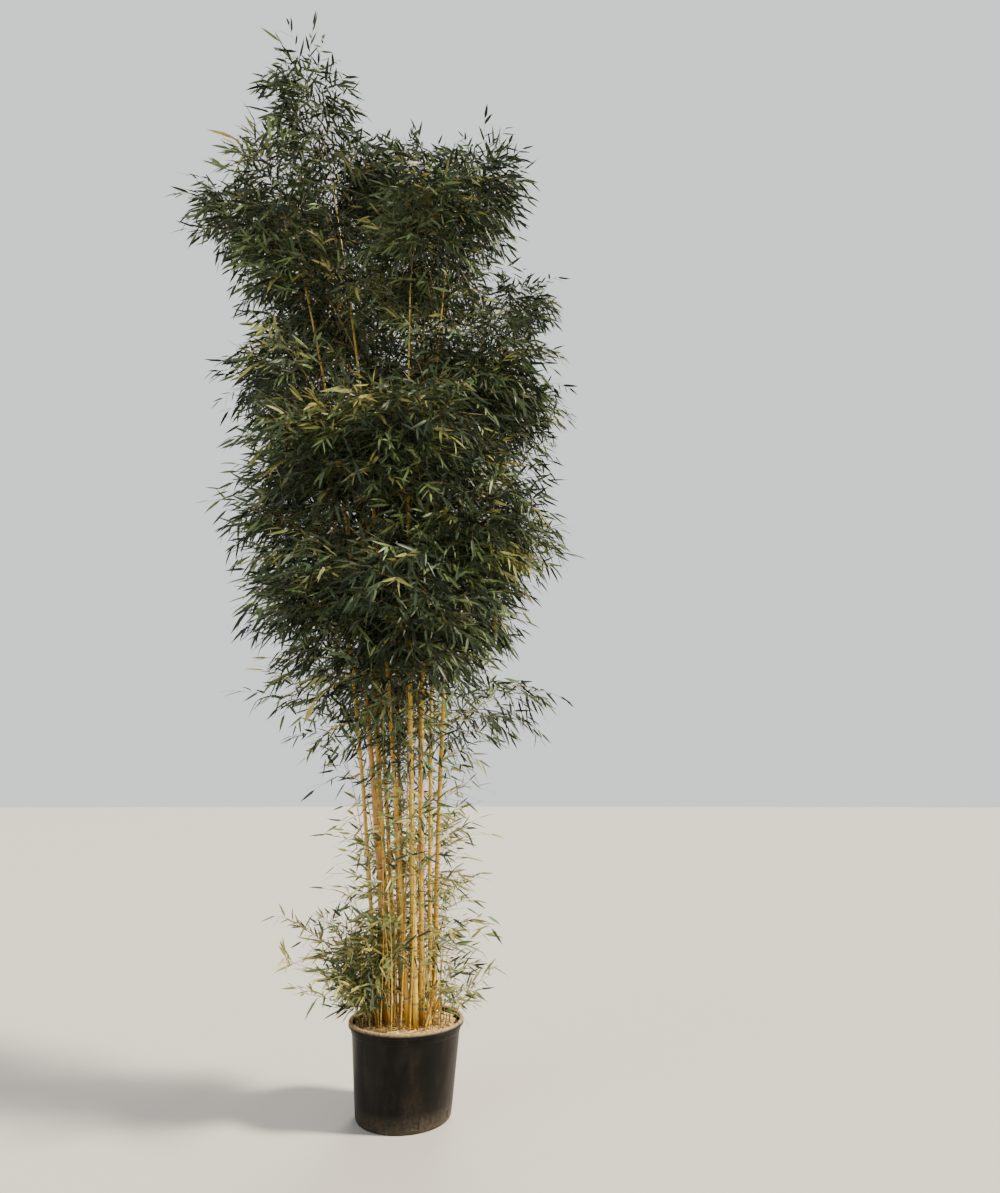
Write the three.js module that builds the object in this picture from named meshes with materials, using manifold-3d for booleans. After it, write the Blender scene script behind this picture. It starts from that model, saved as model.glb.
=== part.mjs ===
// A clump of golden hedge bamboo growing in a black nursery pot, in millimetres, +Z up.
// The origin is the middle of the pot's flat underside. The clump leans towards -X, which is the left
// of someone who looks along +Y.
//
// The pieces are the pot, the bark litter that fills it, the culms (the jointed canes), and the masses
// of foliage. The culms rise in groups. Each carries a low spray, a high spray and the plume that ends
// it, and two tufts of short shoots stand on the litter. Every mass grows by one rule from its own stem.

import * as THREE from "three";
import { mergeVertices } from "three/addons/utils/BufferGeometryUtils.js";
import Module from "manifold-3d";

const wasm = await Module();
wasm.setup();

const { clamp, degToRad, lerp, mapLinear } = THREE.MathUtils;
const GOLDEN_ANGLE = Math.PI * (3 - Math.sqrt(5));
const GOLDEN_SHARE = 0.618;
const UP = new THREE.Vector3(0, 0, 1);

const SEED = 133;
const GAP = 0.3; // left between two solids that touch on the real plant

const POT = {
  height: 450,
  footRadius: 246,
  wallRadius: 290, // of the outside, just under the rim
  rimRadius: 305,
  rimDepth: 26,
  band: 30, // the height of the band that stiffens the wall under the rim
  chamfer: 5,
  wall: 6,
  floor: 8,
  sides: 24,
};

const LITTER = {
  level: 434, // of the flat middle that the culms stand on
  edgeLevel: 418, // where it meets the pot's wall
  flatRadius: 262,
};

const GROUP = {
  count: 4,
  turn: degToRad(200), // the way to the first group
  ring: 122, // from the pot's middle to the middle of each group
  radius: 38, // from a group's middle to each of its culms
  jitter: 6,
  fanning: 0.65, // how much of the group's own way is left out of the way that a culm leans
};

const CULM = {
  count: 14,
  tallest: 5260,
  shortest: 3900,
  doming: 0.55, // how much of a culm's height goes by how far out it leans, the rest by chance
  thickest: 17.5,
  thinnest: 11,
  spread: 560, // how far an outer culm's tip has moved out from over its foot
  stray: 150, // the most that a tip has moved in the culm's own chance direction
  nod: 0.16, // a tip's drop, as a share of its spread
  joints: 10,
  crowding: 0.45, // how much closer the joints are at the foot and the tip
  swell: 1.12, // of a joint over the cane beside it
  sides: 5,
};

const LEAN = { reach: 400, azimuth: degToRad(198) };

const LEAF = {
  length: 450, // each stands for a spray of the real leaves, which are about 130 mm long
  width: 110,
  thickness: 10,
  widestAt: 0.4,
  bow: 0.05,
};

// A mass is a stem with twigs along it, and a fan of leaves on each twig and one leaf on the stem's tip.
const LOW_SPRAY = { length: 880, reach: 0.58, rise: 0.62, from: 0.34, to: 0.56, twigs: 3, leaf: 1 };
const HIGH_SPRAY = { length: 860, reach: 0.56, rise: 0.66, from: 0.59, to: 0.85, twigs: 3, leaf: 1 };
const PLUME = { length: 760, reach: 0.34, rise: 0.22, sunk: 12, twigs: 3, leaf: 1 };
const TUFTS = [
  { name: "tuft_left", azimuth: 196, ring: 200, reach: 210, length: 520, twigs: 3, leaf: 0.55 },
  { name: "tuft_right", azimuth: -24, ring: 206, reach: 60, length: 340, twigs: 3, leaf: 0.4 },
];

const STEM = {
  spans: 3, // its straight lengths
  sides: 4,
  taper: 0.45,
  thickness: 0.5, // as a share of the culm's, where it leaves the culm's side
  plumeThickness: 0.75, // and where it carries the culm on
  tuftRadius: 8,
  tip: 0.7, // where the length that carries its own leaf starts
};

const TWIG = {
  from: 0.26, // the stretch of the stem that has twigs
  to: 0.84,
  angle: degToRad(52), // between the stem and the twig
  shortest: 0.28, // as shares of the mass's length
  longest: 0.36,
  gain: 1.15, // its length at the stem's foot
  loss: 0.5, // and how much of it a twig at the stem's tip has less
  thickness: 0.55,
  taper: 0.3,
  sides: 3,
};

const FAN = {
  turns: [0, 46, -46], // the directions of a twig's leaves, in degrees from its own
  places: [0.95, 0.62, 0.3], // and where on the twig each has its root
  jitter: 10,
  leastDroop: 0.35, // a leaf's fall for each unit of its level reach
  mostDroop: 1.1,
  shortest: 0.85,
  longest: 1.1,
};

const SEARCH = {
  tries: 12,
  clearance: 2, // between a mass and what it may not touch
  twigTurn: 0.5, // from one try to the next
  leafTurn: 22,
};

// The second numbers that the random values of one thing are drawn with.
const DRAW = { twig: 20, leafTurn: 40, leafDroop: 70, leafLength: 100 };

const MATERIALS = {
  pot: new THREE.MeshStandardMaterial({ color: 0x1d1b1a, roughness: 0.6, metalness: 0 }),
  litter: new THREE.MeshStandardMaterial({ color: 0x8a6740, roughness: 0.95, metalness: 0 }),
  culm: new THREE.MeshStandardMaterial({ color: 0xd09a3e, roughness: 0.42, metalness: 0 }),
  leaf: new THREE.MeshStandardMaterial({ color: 0x47592a, roughness: 0.55, metalness: 0 }),
};

/** A repeatable number from 0 to 1 for a pair of whole numbers. */
function chance(a, b) {
  const wave = Math.sin(a * 127.1 + b * 311.7 + SEED) * 43758.5453;
  return wave - Math.floor(wave);
}

/** A repeatable number from low to high. */
function between(low, high, a, b) {
  return low + (high - low) * chance(a, b);
}

/** The level direction at an azimuth, in radians from +X. */
function level(azimuth) {
  return new THREE.Vector3(Math.cos(azimuth), Math.sin(azimuth), 0);
}

/** A geometry of positions alone, with each corner held once. */
function mergedGeometry(geometry) {
  return mergeVertices(geometry.clone().deleteAttribute("normal").deleteAttribute("uv"));
}

/** A closed geometry as a solid that can be joined and cut. */
function solidOf(geometry) {
  const merged = mergedGeometry(geometry);
  const corners = merged.index.array;
  const kept = [];
  for (let i = 0; i < corners.length; i += 3) {
    const [a, b, c] = corners.subarray(i, i + 3);
    if (a !== b && b !== c && a !== c) kept.push(a, b, c);
  }
  return new wasm.Manifold(
    new wasm.Mesh({
      numProp: 3,
      vertProperties: merged.attributes.position.array,
      triVerts: new Uint32Array(kept),
    }),
  );
}

/** A solid as a named mesh. */
function meshOf(name, solid, material) {
  const { vertProperties, triVerts } = solid.getMesh();
  const geometry = new THREE.BufferGeometry();
  geometry.setAttribute("position", new THREE.BufferAttribute(vertProperties, 3));
  geometry.setIndex(new THREE.BufferAttribute(triVerts, 1));
  geometry.computeVertexNormals();
  const mesh = new THREE.Mesh(geometry, material);
  mesh.name = name;
  return mesh;
}

/** The largest body of a solid, without the scraps that a cut may leave. */
function largest(solid) {
  return solid.decompose().sort((a, b) => b.volume() - a.volume())[0];
}

/** A turned solid about Z, from [radius, height] pairs that start and end on the axis. */
function turned(profile, sides) {
  const points = profile.map(([radius, height]) => new THREE.Vector2(radius, height));
  return new THREE.LatheGeometry(points, sides).rotateX(Math.PI / 2);
}

/**
 * A limb: a turned rod whose rings are set along a curve.
 * rings holds [share of the curve, radius] pairs. A level limb keeps its rings flat, as its foot is.
 */
function limb(curve, rings, sides, isLevel) {
  const first = rings[0][0];
  const last = rings[rings.length - 1][0];
  const profile = [[0, first], ...rings.map(([at, radius]) => [radius, at]), [0, last]];
  const points = profile.map(([radius, at]) => new THREE.Vector2(radius, at));
  const geometry = mergedGeometry(new THREE.LatheGeometry(points, sides));
  const position = geometry.attributes.position;
  for (let i = 0; i < position.count; i++) {
    const at = position.getY(i);
    const along = isLevel ? UP : curve.getTangent(clamp(at, 0, 1));
    const side = new THREE.Vector3(0, 1, 0).cross(along).normalize();
    const across = side.clone().cross(along);
    const point = curve
      .getPoint(at)
      .addScaledVector(side, position.getX(i))
      .addScaledVector(across, position.getZ(i));
    position.setXYZ(i, point.x, point.y, point.z);
  }
  return geometry;
}

/** The line that a culm's middle follows, from its foot on the litter to its tip. */
class CulmCurve extends THREE.Curve {
  constructor(number) {
    super();
    const order = Math.sqrt((number + 0.5) / CULM.count); // 0 for an upright inner culm, 1 for an outer one
    const member = Math.floor(number / GROUP.count);
    const groupWay = GROUP.turn + (number % GROUP.count) * ((2 * Math.PI) / GROUP.count);
    const memberWay = groupWay + Math.PI * (1 + member / 2); // from the group's inner side round it
    const middle = level(groupWay).multiplyScalar(GROUP.ring);
    this.foot = middle
      .clone()
      .addScaledVector(level(memberWay), GROUP.radius)
      .addScaledVector(level(between(0, 2 * Math.PI, number, 2)), GROUP.jitter);
    const out = this.foot.clone().addScaledVector(middle, -GROUP.fanning);
    this.azimuth = Math.atan2(out.y, out.x) + between(-0.35, 0.35, number, 1);
    this.foot.z = LITTER.level + GAP;
    this.stray = level(between(0, 2 * Math.PI, number, 5)).multiplyScalar(CULM.stray * chance(number, 6));
    const shortfall = lerp(chance(number, 3), order ** 2, CULM.doming);
    this.height = lerp(CULM.tallest, CULM.shortest, shortfall);
    this.spread = CULM.spread * lerp(0.1, 1, order);
    this.plumeAzimuth = this.azimuth + (member === 0 ? Math.PI : 0); // the inner ones close the crown
    this.radius = between(CULM.thinnest, CULM.thickest, number, 4);
  }

  getPoint(t, target = new THREE.Vector3()) {
    const outward = this.spread * lerp(t, Math.max(t, 0) ** 2.6, 0.7);
    const lean = LEAN.reach * lerp(t, t ** 2, 0.3);
    target
      .copy(this.foot)
      .addScaledVector(level(this.azimuth), outward)
      .addScaledVector(level(LEAN.azimuth), lean)
      .addScaledVector(this.stray, t);
    target.z += this.height * t - CULM.nod * this.spread * Math.max(t, 0) ** 4;
    return target;
  }

  /** The cane's radius, leaving out its joints. */
  radiusAt(t) {
    return this.radius * (1 - 0.2 * t - 0.55 * t ** 2);
  }
}

/** Where the joints are on a culm: close at the foot and the tip, and far apart in the middle. */
function jointAt(index) {
  const even = (2 * Math.PI * index) / CULM.joints;
  return (even - CULM.crowding * Math.sin(even)) / (2 * Math.PI);
}

/** A culm's rings: one at each joint and, but for the two ends, one half way to the next. */
function culmRings(curve, margin) {
  const rings = [[0, curve.radiusAt(0) + margin]];
  for (let index = 1; index < CULM.joints; index++) {
    const joint = jointAt(index);
    rings.push([joint, curve.radiusAt(joint) * CULM.swell + margin]);
    if (index > CULM.joints - 3) continue;
    const middle = (joint + jointAt(index + 1)) / 2;
    rings.push([middle, curve.radiusAt(middle) + margin]);
  }
  rings.push([1 + (margin > 0 ? GAP / curve.height : 0), curve.radiusAt(1) + margin]);
  return rings;
}

/** A convex piece of the plant, as its corners and its own directions. It can tell what is clear of it. */
class Hull {
  constructor(owner, points, along) {
    this.owner = owner;
    this.points = points;
    const across = points[1].clone().sub(points[0]).cross(along).normalize();
    this.directions = [along, across, along.clone().cross(across)];
    this.ball = new THREE.Box3().setFromPoints(points).getBoundingSphere(new THREE.Sphere());
  }

  /** How far the piece reaches along an axis, at its lowest and highest. */
  extent(axis) {
    const heights = this.points.map((point) => point.dot(axis));
    return [Math.min(...heights), Math.max(...heights)];
  }

  /** Whether some flat gap parts this piece from another. */
  isClearOf(other) {
    const room = this.ball.radius + other.ball.radius + SEARCH.clearance;
    if (this.ball.center.distanceTo(other.ball.center) > room) return true;
    const crossed = this.directions.flatMap((own) => {
      return other.directions.map((its) => own.clone().cross(its));
    });
    return [...this.directions, ...other.directions, ...crossed].some((direction) => {
      if (direction.lengthSq() < 0.01) return false;
      const axis = direction.clone().normalize();
      const [low, high] = this.extent(axis);
      const [otherLow, otherHigh] = other.extent(axis);
      return Math.max(otherLow - high, low - otherHigh) > SEARCH.clearance;
    });
  }
}

/** A straight length between two points, as the hull of its square sections. */
function rodHull(owner, start, end, radius) {
  const along = end.clone().sub(start).normalize();
  const side = new THREE.Vector3(0, 1, 0).cross(along).normalize().multiplyScalar(radius);
  const across = side.clone().cross(along);
  const corners = [side, across, side.clone().negate(), across.clone().negate()];
  const points = [start, end].flatMap((middle) => corners.map((corner) => middle.clone().add(corner)));
  return new Hull(owner, points, along);
}

/** The straight lengths of a curve, as hulls. */
function rodHulls(owner, curve, radiusAt, count) {
  return Array.from({ length: count }, (_, i) =>
    rodHull(owner, curve.getPoint(i / count), curve.getPoint((i + 1) / count), radiusAt(i / count)),
  );
}

/** Whether a hull is clear of all others, leaving out those of the owners named. */
function isClear(hull, others, except = []) {
  return others.every((other) => except.includes(other.owner) || hull.isClearOf(other));
}

/** The pot: a tapered shell with a flat floor and a rolled rim. */
function potSolid() {
  const { height, footRadius, wallRadius, rimRadius, rimDepth, band, chamfer, wall, floor, sides } = POT;
  const underRim = height - rimDepth;
  return solidOf(
    turned(
      [
        [0, 0],
        [footRadius - chamfer, 0],
        [footRadius, chamfer],
        [wallRadius - chamfer, underRim - band],
        [wallRadius, underRim - band + chamfer],
        [wallRadius, underRim],
        [rimRadius, underRim],
        [rimRadius, height - chamfer],
        [rimRadius - chamfer, height],
        [wallRadius - wall / 2, height],
        [wallRadius - wall, height - chamfer],
        [potInside(floor), floor],
        [0, floor],
      ],
      sides,
    ),
  );
}

/** The radius of the pot's inside at a height. */
function potInside(height) {
  const { footRadius, wallRadius, chamfer, wall } = POT;
  return mapLinear(height, 0, POT.height - chamfer, footRadius - 2 * wall, wallRadius - wall);
}

/** The bark and leaf litter that fills the pot, with a low crown. */
function litterSolid() {
  const bottom = POT.floor + GAP;
  return solidOf(
    turned(
      [
        [0, bottom],
        [potInside(bottom) - GAP * 2, bottom],
        [potInside(LITTER.edgeLevel) - GAP * 2, LITTER.edgeLevel],
        [LITTER.flatRadius, LITTER.level],
        [0, LITTER.level],
      ],
      POT.sides,
    ),
  );
}

/** A leaf blade of eight faces: its root is at the origin, it runs along +X and its upper side is +Z. */
function bladeGeometry(length) {
  const scale = length / LEAF.length;
  const geometry = new THREE.OctahedronGeometry(1);
  const position = geometry.attributes.position;
  for (let i = 0; i < position.count; i++) {
    const along = position.getX(i);
    const isMiddle = Math.abs(along) < 0.5;
    position.setX(i, length * (isMiddle ? LEAF.widestAt : (along + 1) / 2));
    position.setY(i, (position.getY(i) * LEAF.width * scale) / 2);
    const lift = isMiddle ? LEAF.bow * length : 0;
    position.setZ(i, (position.getZ(i) * LEAF.thickness) / 2 + lift);
  }
  return geometry;
}

/** A twig along a line. */
function twigSolid(line, radius) {
  const length = line.distance();
  const turn = new THREE.Quaternion().setFromUnitVectors(
    new THREE.Vector3(0, 1, 0),
    line.delta(new THREE.Vector3()).normalize(),
  );
  const geometry = new THREE.CylinderGeometry(radius * (1 - TWIG.taper), radius, length, TWIG.sides)
    .translate(0, length / 2, 0)
    .applyQuaternion(turn)
    .translate(...line.start.toArray());
  return solidOf(geometry);
}

/** A leaf's blade on its root, with its upper side as near to up as its direction allows. */
function leafGeometry(root, along, length) {
  const across = UP.clone().cross(along).normalize();
  const over = along.clone().cross(across);
  const place = new THREE.Matrix4().makeBasis(along, across, over).setPosition(root);
  return bladeGeometry(length).applyMatrix4(place);
}

/** The corners of a geometry, each once. */
function cornersOf(geometry) {
  const { position } = mergedGeometry(geometry).attributes;
  return Array.from({ length: position.count }, (_, i) => {
    return new THREE.Vector3().fromBufferAttribute(position, i);
  });
}

/** A mass of foliage: its stem, then the twigs and leaves that there is room for. */
class Mass {
  constructor(name, number, curve, radius, size) {
    this.name = name;
    this.number = number;
    this.curve = curve;
    this.radius = radius;
    this.size = size;
    this.stem = rodHulls(name, curve, (t) => this.radiusAt(t), STEM.spans);
    this.twigs = [];
    this.leaves = [];
  }

  /** The stem's radius at a share of its length. */
  radiusAt(t) {
    return this.radius * (1 - STEM.taper * t);
  }

  /** The point in the middle of the stem, which is straight from each ring to the next. */
  pointAt(t) {
    const ring = Math.min(Math.floor(t * STEM.spans), STEM.spans - 1);
    const from = this.curve.getPoint(ring / STEM.spans);
    return from.lerp(this.curve.getPoint((ring + 1) / STEM.spans), t * STEM.spans - ring);
  }

  /** Twigs along the stem, each turned on from the last by the golden angle. */
  growTwigs(occupied) {
    const { twigs, length } = this.size;
    const radius = this.radius * TWIG.thickness;
    for (let index = 0; index < twigs; index++) {
      const at = lerp(TWIG.from, TWIG.to, (index + 0.5) / twigs);
      const start = this.pointAt(at);
      const along = this.curve.getTangent(at);
      const side = new THREE.Vector3(0, 1, 0).cross(along).normalize();
      const share = between(TWIG.shortest, TWIG.longest, this.number, DRAW.twig + index);
      const reach = length * share * (TWIG.gain - TWIG.loss * at);
      for (let attempt = 0; attempt < SEARCH.tries; attempt++) {
        const turn = (index + this.number) * GOLDEN_ANGLE + attempt * SEARCH.twigTurn;
        const direction = along.clone().applyAxisAngle(side, TWIG.angle).applyAxisAngle(along, turn);
        const end = start.clone().addScaledVector(direction, reach);
        const hull = rodHull(this.name, start, end, radius);
        const siblings = this.twigs.map((twig) => twig.hull);
        if (isClear(hull, occupied, [this.name]) && isClear(hull, siblings)) {
          this.twigs.push({ line: new THREE.Line3(start, end), radius, hull });
          occupied.push(hull);
          break;
        }
      }
    }
  }

  /** A fan of leaves on each twig, and one leaf on the stem's tip. */
  growLeaves(occupied) {
    const tip = { line: new THREE.Line3(this.pointAt(STEM.tip), this.pointAt(1)) };
    const wood = this.twigs.map((twig) => twig.hull);
    this.growLeaf(tip.line, 0, 0, occupied, wood);
    this.twigs.forEach((twig, index) => {
      const others = [...this.stem, ...wood.filter((hull) => hull !== twig.hull)];
      FAN.turns.forEach((_, place) => this.growLeaf(twig.line, index + 1, place, occupied, others));
    });
  }

  /** One leaf of a fan, turned aside until it is clear of all that is near. */
  growLeaf(line, twig, place, occupied, wood) {
    const root = line.at(FAN.places[place], new THREE.Vector3());
    const heading = line.delta(new THREE.Vector3()).setZ(0).normalize();
    const key = 5 * twig + place;
    const share = between(FAN.shortest, FAN.longest, this.number, DRAW.leafLength + key);
    const droop = between(FAN.leastDroop, FAN.mostDroop, this.number, DRAW.leafDroop + key);
    const first = FAN.turns[place] + between(-FAN.jitter, FAN.jitter, this.number, DRAW.leafTurn + key);
    for (let attempt = 0; attempt < SEARCH.tries; attempt++) {
      const aside = attempt * SEARCH.leafTurn * (attempt % 2 ? 1 : -1);
      const along = heading.clone().applyAxisAngle(UP, degToRad(first + aside)).setZ(-droop).normalize();
      const geometry = leafGeometry(root, along, LEAF.length * this.size.leaf * share);
      const hull = new Hull(this.name, cornersOf(geometry), along);
      const siblings = this.leaves.map((leaf) => leaf.hull);
      if (isClear(hull, occupied, [this.name]) && isClear(hull, [...wood, ...siblings])) {
        this.leaves.push({ geometry, hull });
        occupied.push(hull);
        break;
      }
    }
  }

  /** Stem, twigs and leaves joined, and cut clear of the limb that carries them. */
  solid(carrier) {
    const shares = Array.from({ length: STEM.spans + 1 }, (_, i) => i / STEM.spans);
    const rings = shares.map((share) => [share, this.radiusAt(share)]);
    let stem = solidOf(limb(this.curve, rings, STEM.sides, false));
    if (carrier) stem = largest(stem.subtract(carrier));
    const twigs = this.twigs.map((twig) => twigSolid(twig.line, twig.radius));
    const leaves = this.leaves.map((leaf) => solidOf(leaf.geometry));
    const joined = wasm.Manifold.union([stem, ...twigs, ...leaves]);
    if (joined.decompose().length > 1) throw new Error(`${this.name} falls apart`);
    return joined;
  }
}

/** The stem of a spray that leaves a culm's side, rises and then arches over. */
function sprayCurve(culm, at, azimuth, { length, reach, rise }) {
  const start = culm.getPoint(at);
  const out = level(azimuth).multiplyScalar(length * reach);
  const control = start.clone().addScaledVector(out, 0.45).addScaledVector(UP, length * rise * 0.8);
  const end = start.clone().add(out).addScaledVector(UP, length * rise);
  return new THREE.QuadraticBezierCurve3(start, control, end);
}

/** A spray on a culm's side, which has to find room for its stem. */
function sprayMass(name, number, culm, size, occupied) {
  const at = lerp(size.from, size.to, (number * GOLDEN_SHARE) % 1);
  const azimuth = culm.azimuth + between(-0.9, 0.9, number, 8);
  const radius = culm.radiusAt(at) * STEM.thickness;
  const mass = new Mass(name, number, sprayCurve(culm, at, azimuth, size), radius, size);
  if (!mass.stem.every((hull) => isClear(hull, occupied, [culm.name]))) {
    throw new Error(`${name} has no room for its stem: try another SEED`);
  }
  return mass;
}

/** The plume that carries a culm on past its tip. It bows outwards, or over the middle on an inner culm. */
function plumeMass(name, number, culm) {
  const { length, reach, rise, sunk } = PLUME;
  const along = culm.getTangent(1);
  const start = culm.getPoint(1).addScaledVector(along, -sunk);
  const control = start.clone().addScaledVector(along, length * 0.45);
  const end = control
    .clone()
    .addScaledVector(level(culm.plumeAzimuth), length * reach)
    .addScaledVector(UP, length * rise);
  const curve = new THREE.QuadraticBezierCurve3(start, control, end);
  return new Mass(name, number, curve, culm.radiusAt(1) * STEM.plumeThickness, PLUME);
}

/** A tuft of short shoots that stands on the litter and leans out over the rim. */
function tuftMass(tuft, number) {
  const out = level(degToRad(tuft.azimuth));
  const start = out.clone().multiplyScalar(tuft.ring);
  start.z = LITTER.level + GAP;
  const control = start.clone().addScaledVector(UP, tuft.length * 0.6);
  const end = start.clone().addScaledVector(out, tuft.reach).addScaledVector(UP, tuft.length);
  const curve = new THREE.QuadraticBezierCurve3(start, control, end);
  return new Mass(tuft.name, number, curve, STEM.tuftRadius, tuft);
}

/** The whole plant in its pot. */
function pottedBamboo() {
  const plant = new THREE.Group();
  plant.add(meshOf("pot", potSolid(), MATERIALS.pot));
  plant.add(meshOf("litter", litterSolid(), MATERIALS.litter));

  const occupied = [];
  const culms = Array.from({ length: CULM.count }, (_, number) => new CulmCurve(number));
  culms.forEach((culm, number) => {
    culm.name = `culm_${String(number + 1).padStart(2, "0")}`;
    const solid = solidOf(limb(culm, culmRings(culm, 0), CULM.sides, true));
    culm.sleeve = solidOf(limb(culm, culmRings(culm, GAP * 1.2), CULM.sides, true));
    const squareRadius = (t) => culm.radiusAt(t) * CULM.swell * Math.SQRT2; // of a square round the cane
    const hulls = rodHulls(culm.name, culm, squareRadius, CULM.joints);
    if (!hulls.every((hull) => isClear(hull, occupied))) {
      throw new Error(`${culm.name} crosses another culm: try another SEED`);
    }
    plant.add(meshOf(culm.name, solid, MATERIALS.culm));
    occupied.push(...hulls);
  });

  const masses = [];
  const add = (mass, carrier) => {
    occupied.push(...mass.stem);
    masses.push({ mass, carrier });
  };
  culms.forEach((culm, number) => add(plumeMass(`${culm.name}_plume`, number, culm), culm.sleeve));
  culms.forEach((culm, number) => {
    const low = sprayMass(`${culm.name}_low_spray`, 100 + number, culm, LOW_SPRAY, occupied);
    add(low, culm.sleeve);
    const high = sprayMass(`${culm.name}_high_spray`, 200 + number, culm, HIGH_SPRAY, occupied);
    add(high, culm.sleeve);
  });
  TUFTS.forEach((tuft, number) => add(tuftMass(tuft, 300 + number)));

  masses.forEach(({ mass }) => mass.growTwigs(occupied));
  masses.forEach(({ mass }) => mass.growLeaves(occupied));
  masses.forEach(({ mass, carrier }) => plant.add(meshOf(mass.name, mass.solid(carrier), MATERIALS.leaf)));
  return plant;
}

export default pottedBamboo();
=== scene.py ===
"""The looks of the potted golden bamboo: pot, bark litter, canes, twigs and leaves, in metres, +Z up.

The canes, the stems of the foliage and their twigs follow the rule of the part's source, with the same seed
and sizes. Here the canes get real joints, and each mass of foliage is carried on to finer twigs and to leaves
of life size.
"""

import logging
import math
from abc import ABC, abstractmethod
from collections.abc import Iterator
from dataclasses import dataclass, field, replace
from enum import Enum

import bmesh
import bpy
import numpy as np
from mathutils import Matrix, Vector, noise


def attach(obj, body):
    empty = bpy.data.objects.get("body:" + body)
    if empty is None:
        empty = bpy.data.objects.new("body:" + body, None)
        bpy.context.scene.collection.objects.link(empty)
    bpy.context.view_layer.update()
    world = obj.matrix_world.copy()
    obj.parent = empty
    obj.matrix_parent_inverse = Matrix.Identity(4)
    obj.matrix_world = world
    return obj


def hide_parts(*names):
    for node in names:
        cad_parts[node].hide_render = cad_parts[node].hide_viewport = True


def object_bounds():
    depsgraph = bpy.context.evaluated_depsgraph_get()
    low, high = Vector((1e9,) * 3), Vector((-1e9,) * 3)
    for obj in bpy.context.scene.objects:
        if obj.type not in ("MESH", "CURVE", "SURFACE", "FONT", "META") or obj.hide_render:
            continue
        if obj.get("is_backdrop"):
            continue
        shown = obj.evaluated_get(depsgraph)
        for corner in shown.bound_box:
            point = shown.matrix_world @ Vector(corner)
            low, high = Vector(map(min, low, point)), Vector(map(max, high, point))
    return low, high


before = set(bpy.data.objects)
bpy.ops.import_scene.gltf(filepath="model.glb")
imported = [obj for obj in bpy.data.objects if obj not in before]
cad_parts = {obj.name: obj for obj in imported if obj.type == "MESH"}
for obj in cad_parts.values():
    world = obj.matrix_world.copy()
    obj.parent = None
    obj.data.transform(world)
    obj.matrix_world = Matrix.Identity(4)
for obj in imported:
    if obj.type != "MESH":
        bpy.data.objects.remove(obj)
CAD_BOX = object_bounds()

LOG = logging.getLogger("potted_bamboo")

SEED = 133
GOLDEN_ANGLE = math.pi * (3 - math.sqrt(5))
GOLDEN_SHARE = 0.618
FULL_TURN = 2 * math.pi
UP = np.array([0.0, 0.0, 1.0])
MM = 0.001
LITTER_LEVEL = 0.434
# As in the source, the stems' feet stand a hair over the litter.
FOOT_LEVEL = LITTER_LEVEL + 0.3 * MM
# The inputs of a Map Range node, in the order in which the finishes give their values.
RANGE = ("Value", "From Min", "From Max", "To Min", "To Max")
# The setting by which a Mix node mixes colours.
COLOURS = {"data_type": "RGBA"}


def chance(a: float, b: float) -> float:
    """Gives the source's repeatable number from 0 to 1 for two numbers: whose it is, and what it is for."""
    wave = math.sin(a * 127.1 + b * 311.7 + SEED) * 43758.5453
    return wave - math.floor(wave)


def between(low: float, high: float, a: float, b: float) -> float:
    """Gives the source's repeatable number between two values."""
    return low + (high - low) * chance(a, b)


def level(azimuth: float) -> np.ndarray:
    """Gives the level direction at an azimuth in radians from +X."""
    return np.array([math.cos(azimuth), math.sin(azimuth), 0.0])


def unit(vector: np.ndarray) -> np.ndarray:
    """Gives vectors of length one, along the last axis of an array."""
    return vector / np.linalg.norm(vector, axis=-1, keepdims=True)


def squared(over: np.ndarray, along: np.ndarray) -> np.ndarray:
    """Gives directions turned until they are square to others, along the last axis of two arrays."""
    return unit(over - along * np.sum(over * along, axis=-1, keepdims=True))


def turned(vector: np.ndarray, axis: np.ndarray, angle: float) -> np.ndarray:
    """Turns a vector about an axis of length one by an angle in radians, by the right-hand rule."""
    flat = np.cross(axis, vector)
    return vector * math.cos(angle) + flat * math.sin(angle) + axis * (axis @ vector) * (1 - math.cos(angle))


def leaving(along: np.ndarray, angle: float, way: float) -> np.ndarray:
    """Gives the direction of what leaves a stem at an angle, a way round it. Both are in radians."""
    side = unit(np.cross([0.0, 1.0, 0.0], along))
    return turned(turned(along, side, angle), along, way)


def linear(colour: str) -> tuple[float, ...]:
    """Turns an sRGB hex colour into the linear one that a shader takes, with an alpha of one."""
    values = [int(colour[i : i + 2], 16) / 255 for i in (1, 3, 5)]
    return (*(v / 12.92 if v <= 0.04045 else ((v + 0.055) / 1.055) ** 2.4 for v in values), 1.0)


def feed(tree: bpy.types.NodeTree, node: bpy.types.Node, inputs: dict[str | int, object]) -> None:
    """Sets what a node's inputs hold, or links them to what feeds them.

    Args:
        tree: the node tree.
        node: the node.
        inputs: a value, a hex colour, or the node or socket that feeds it, by an input's name or number.
    """
    for key, value in inputs.items():
        if isinstance(value, bpy.types.Node):
            value = next(output for output in value.outputs if output.enabled)
        if isinstance(value, bpy.types.NodeSocket):
            tree.links.new(value, node.inputs[key])
        else:
            node.inputs[key].default_value = linear(value) if isinstance(value, str) else value


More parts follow.
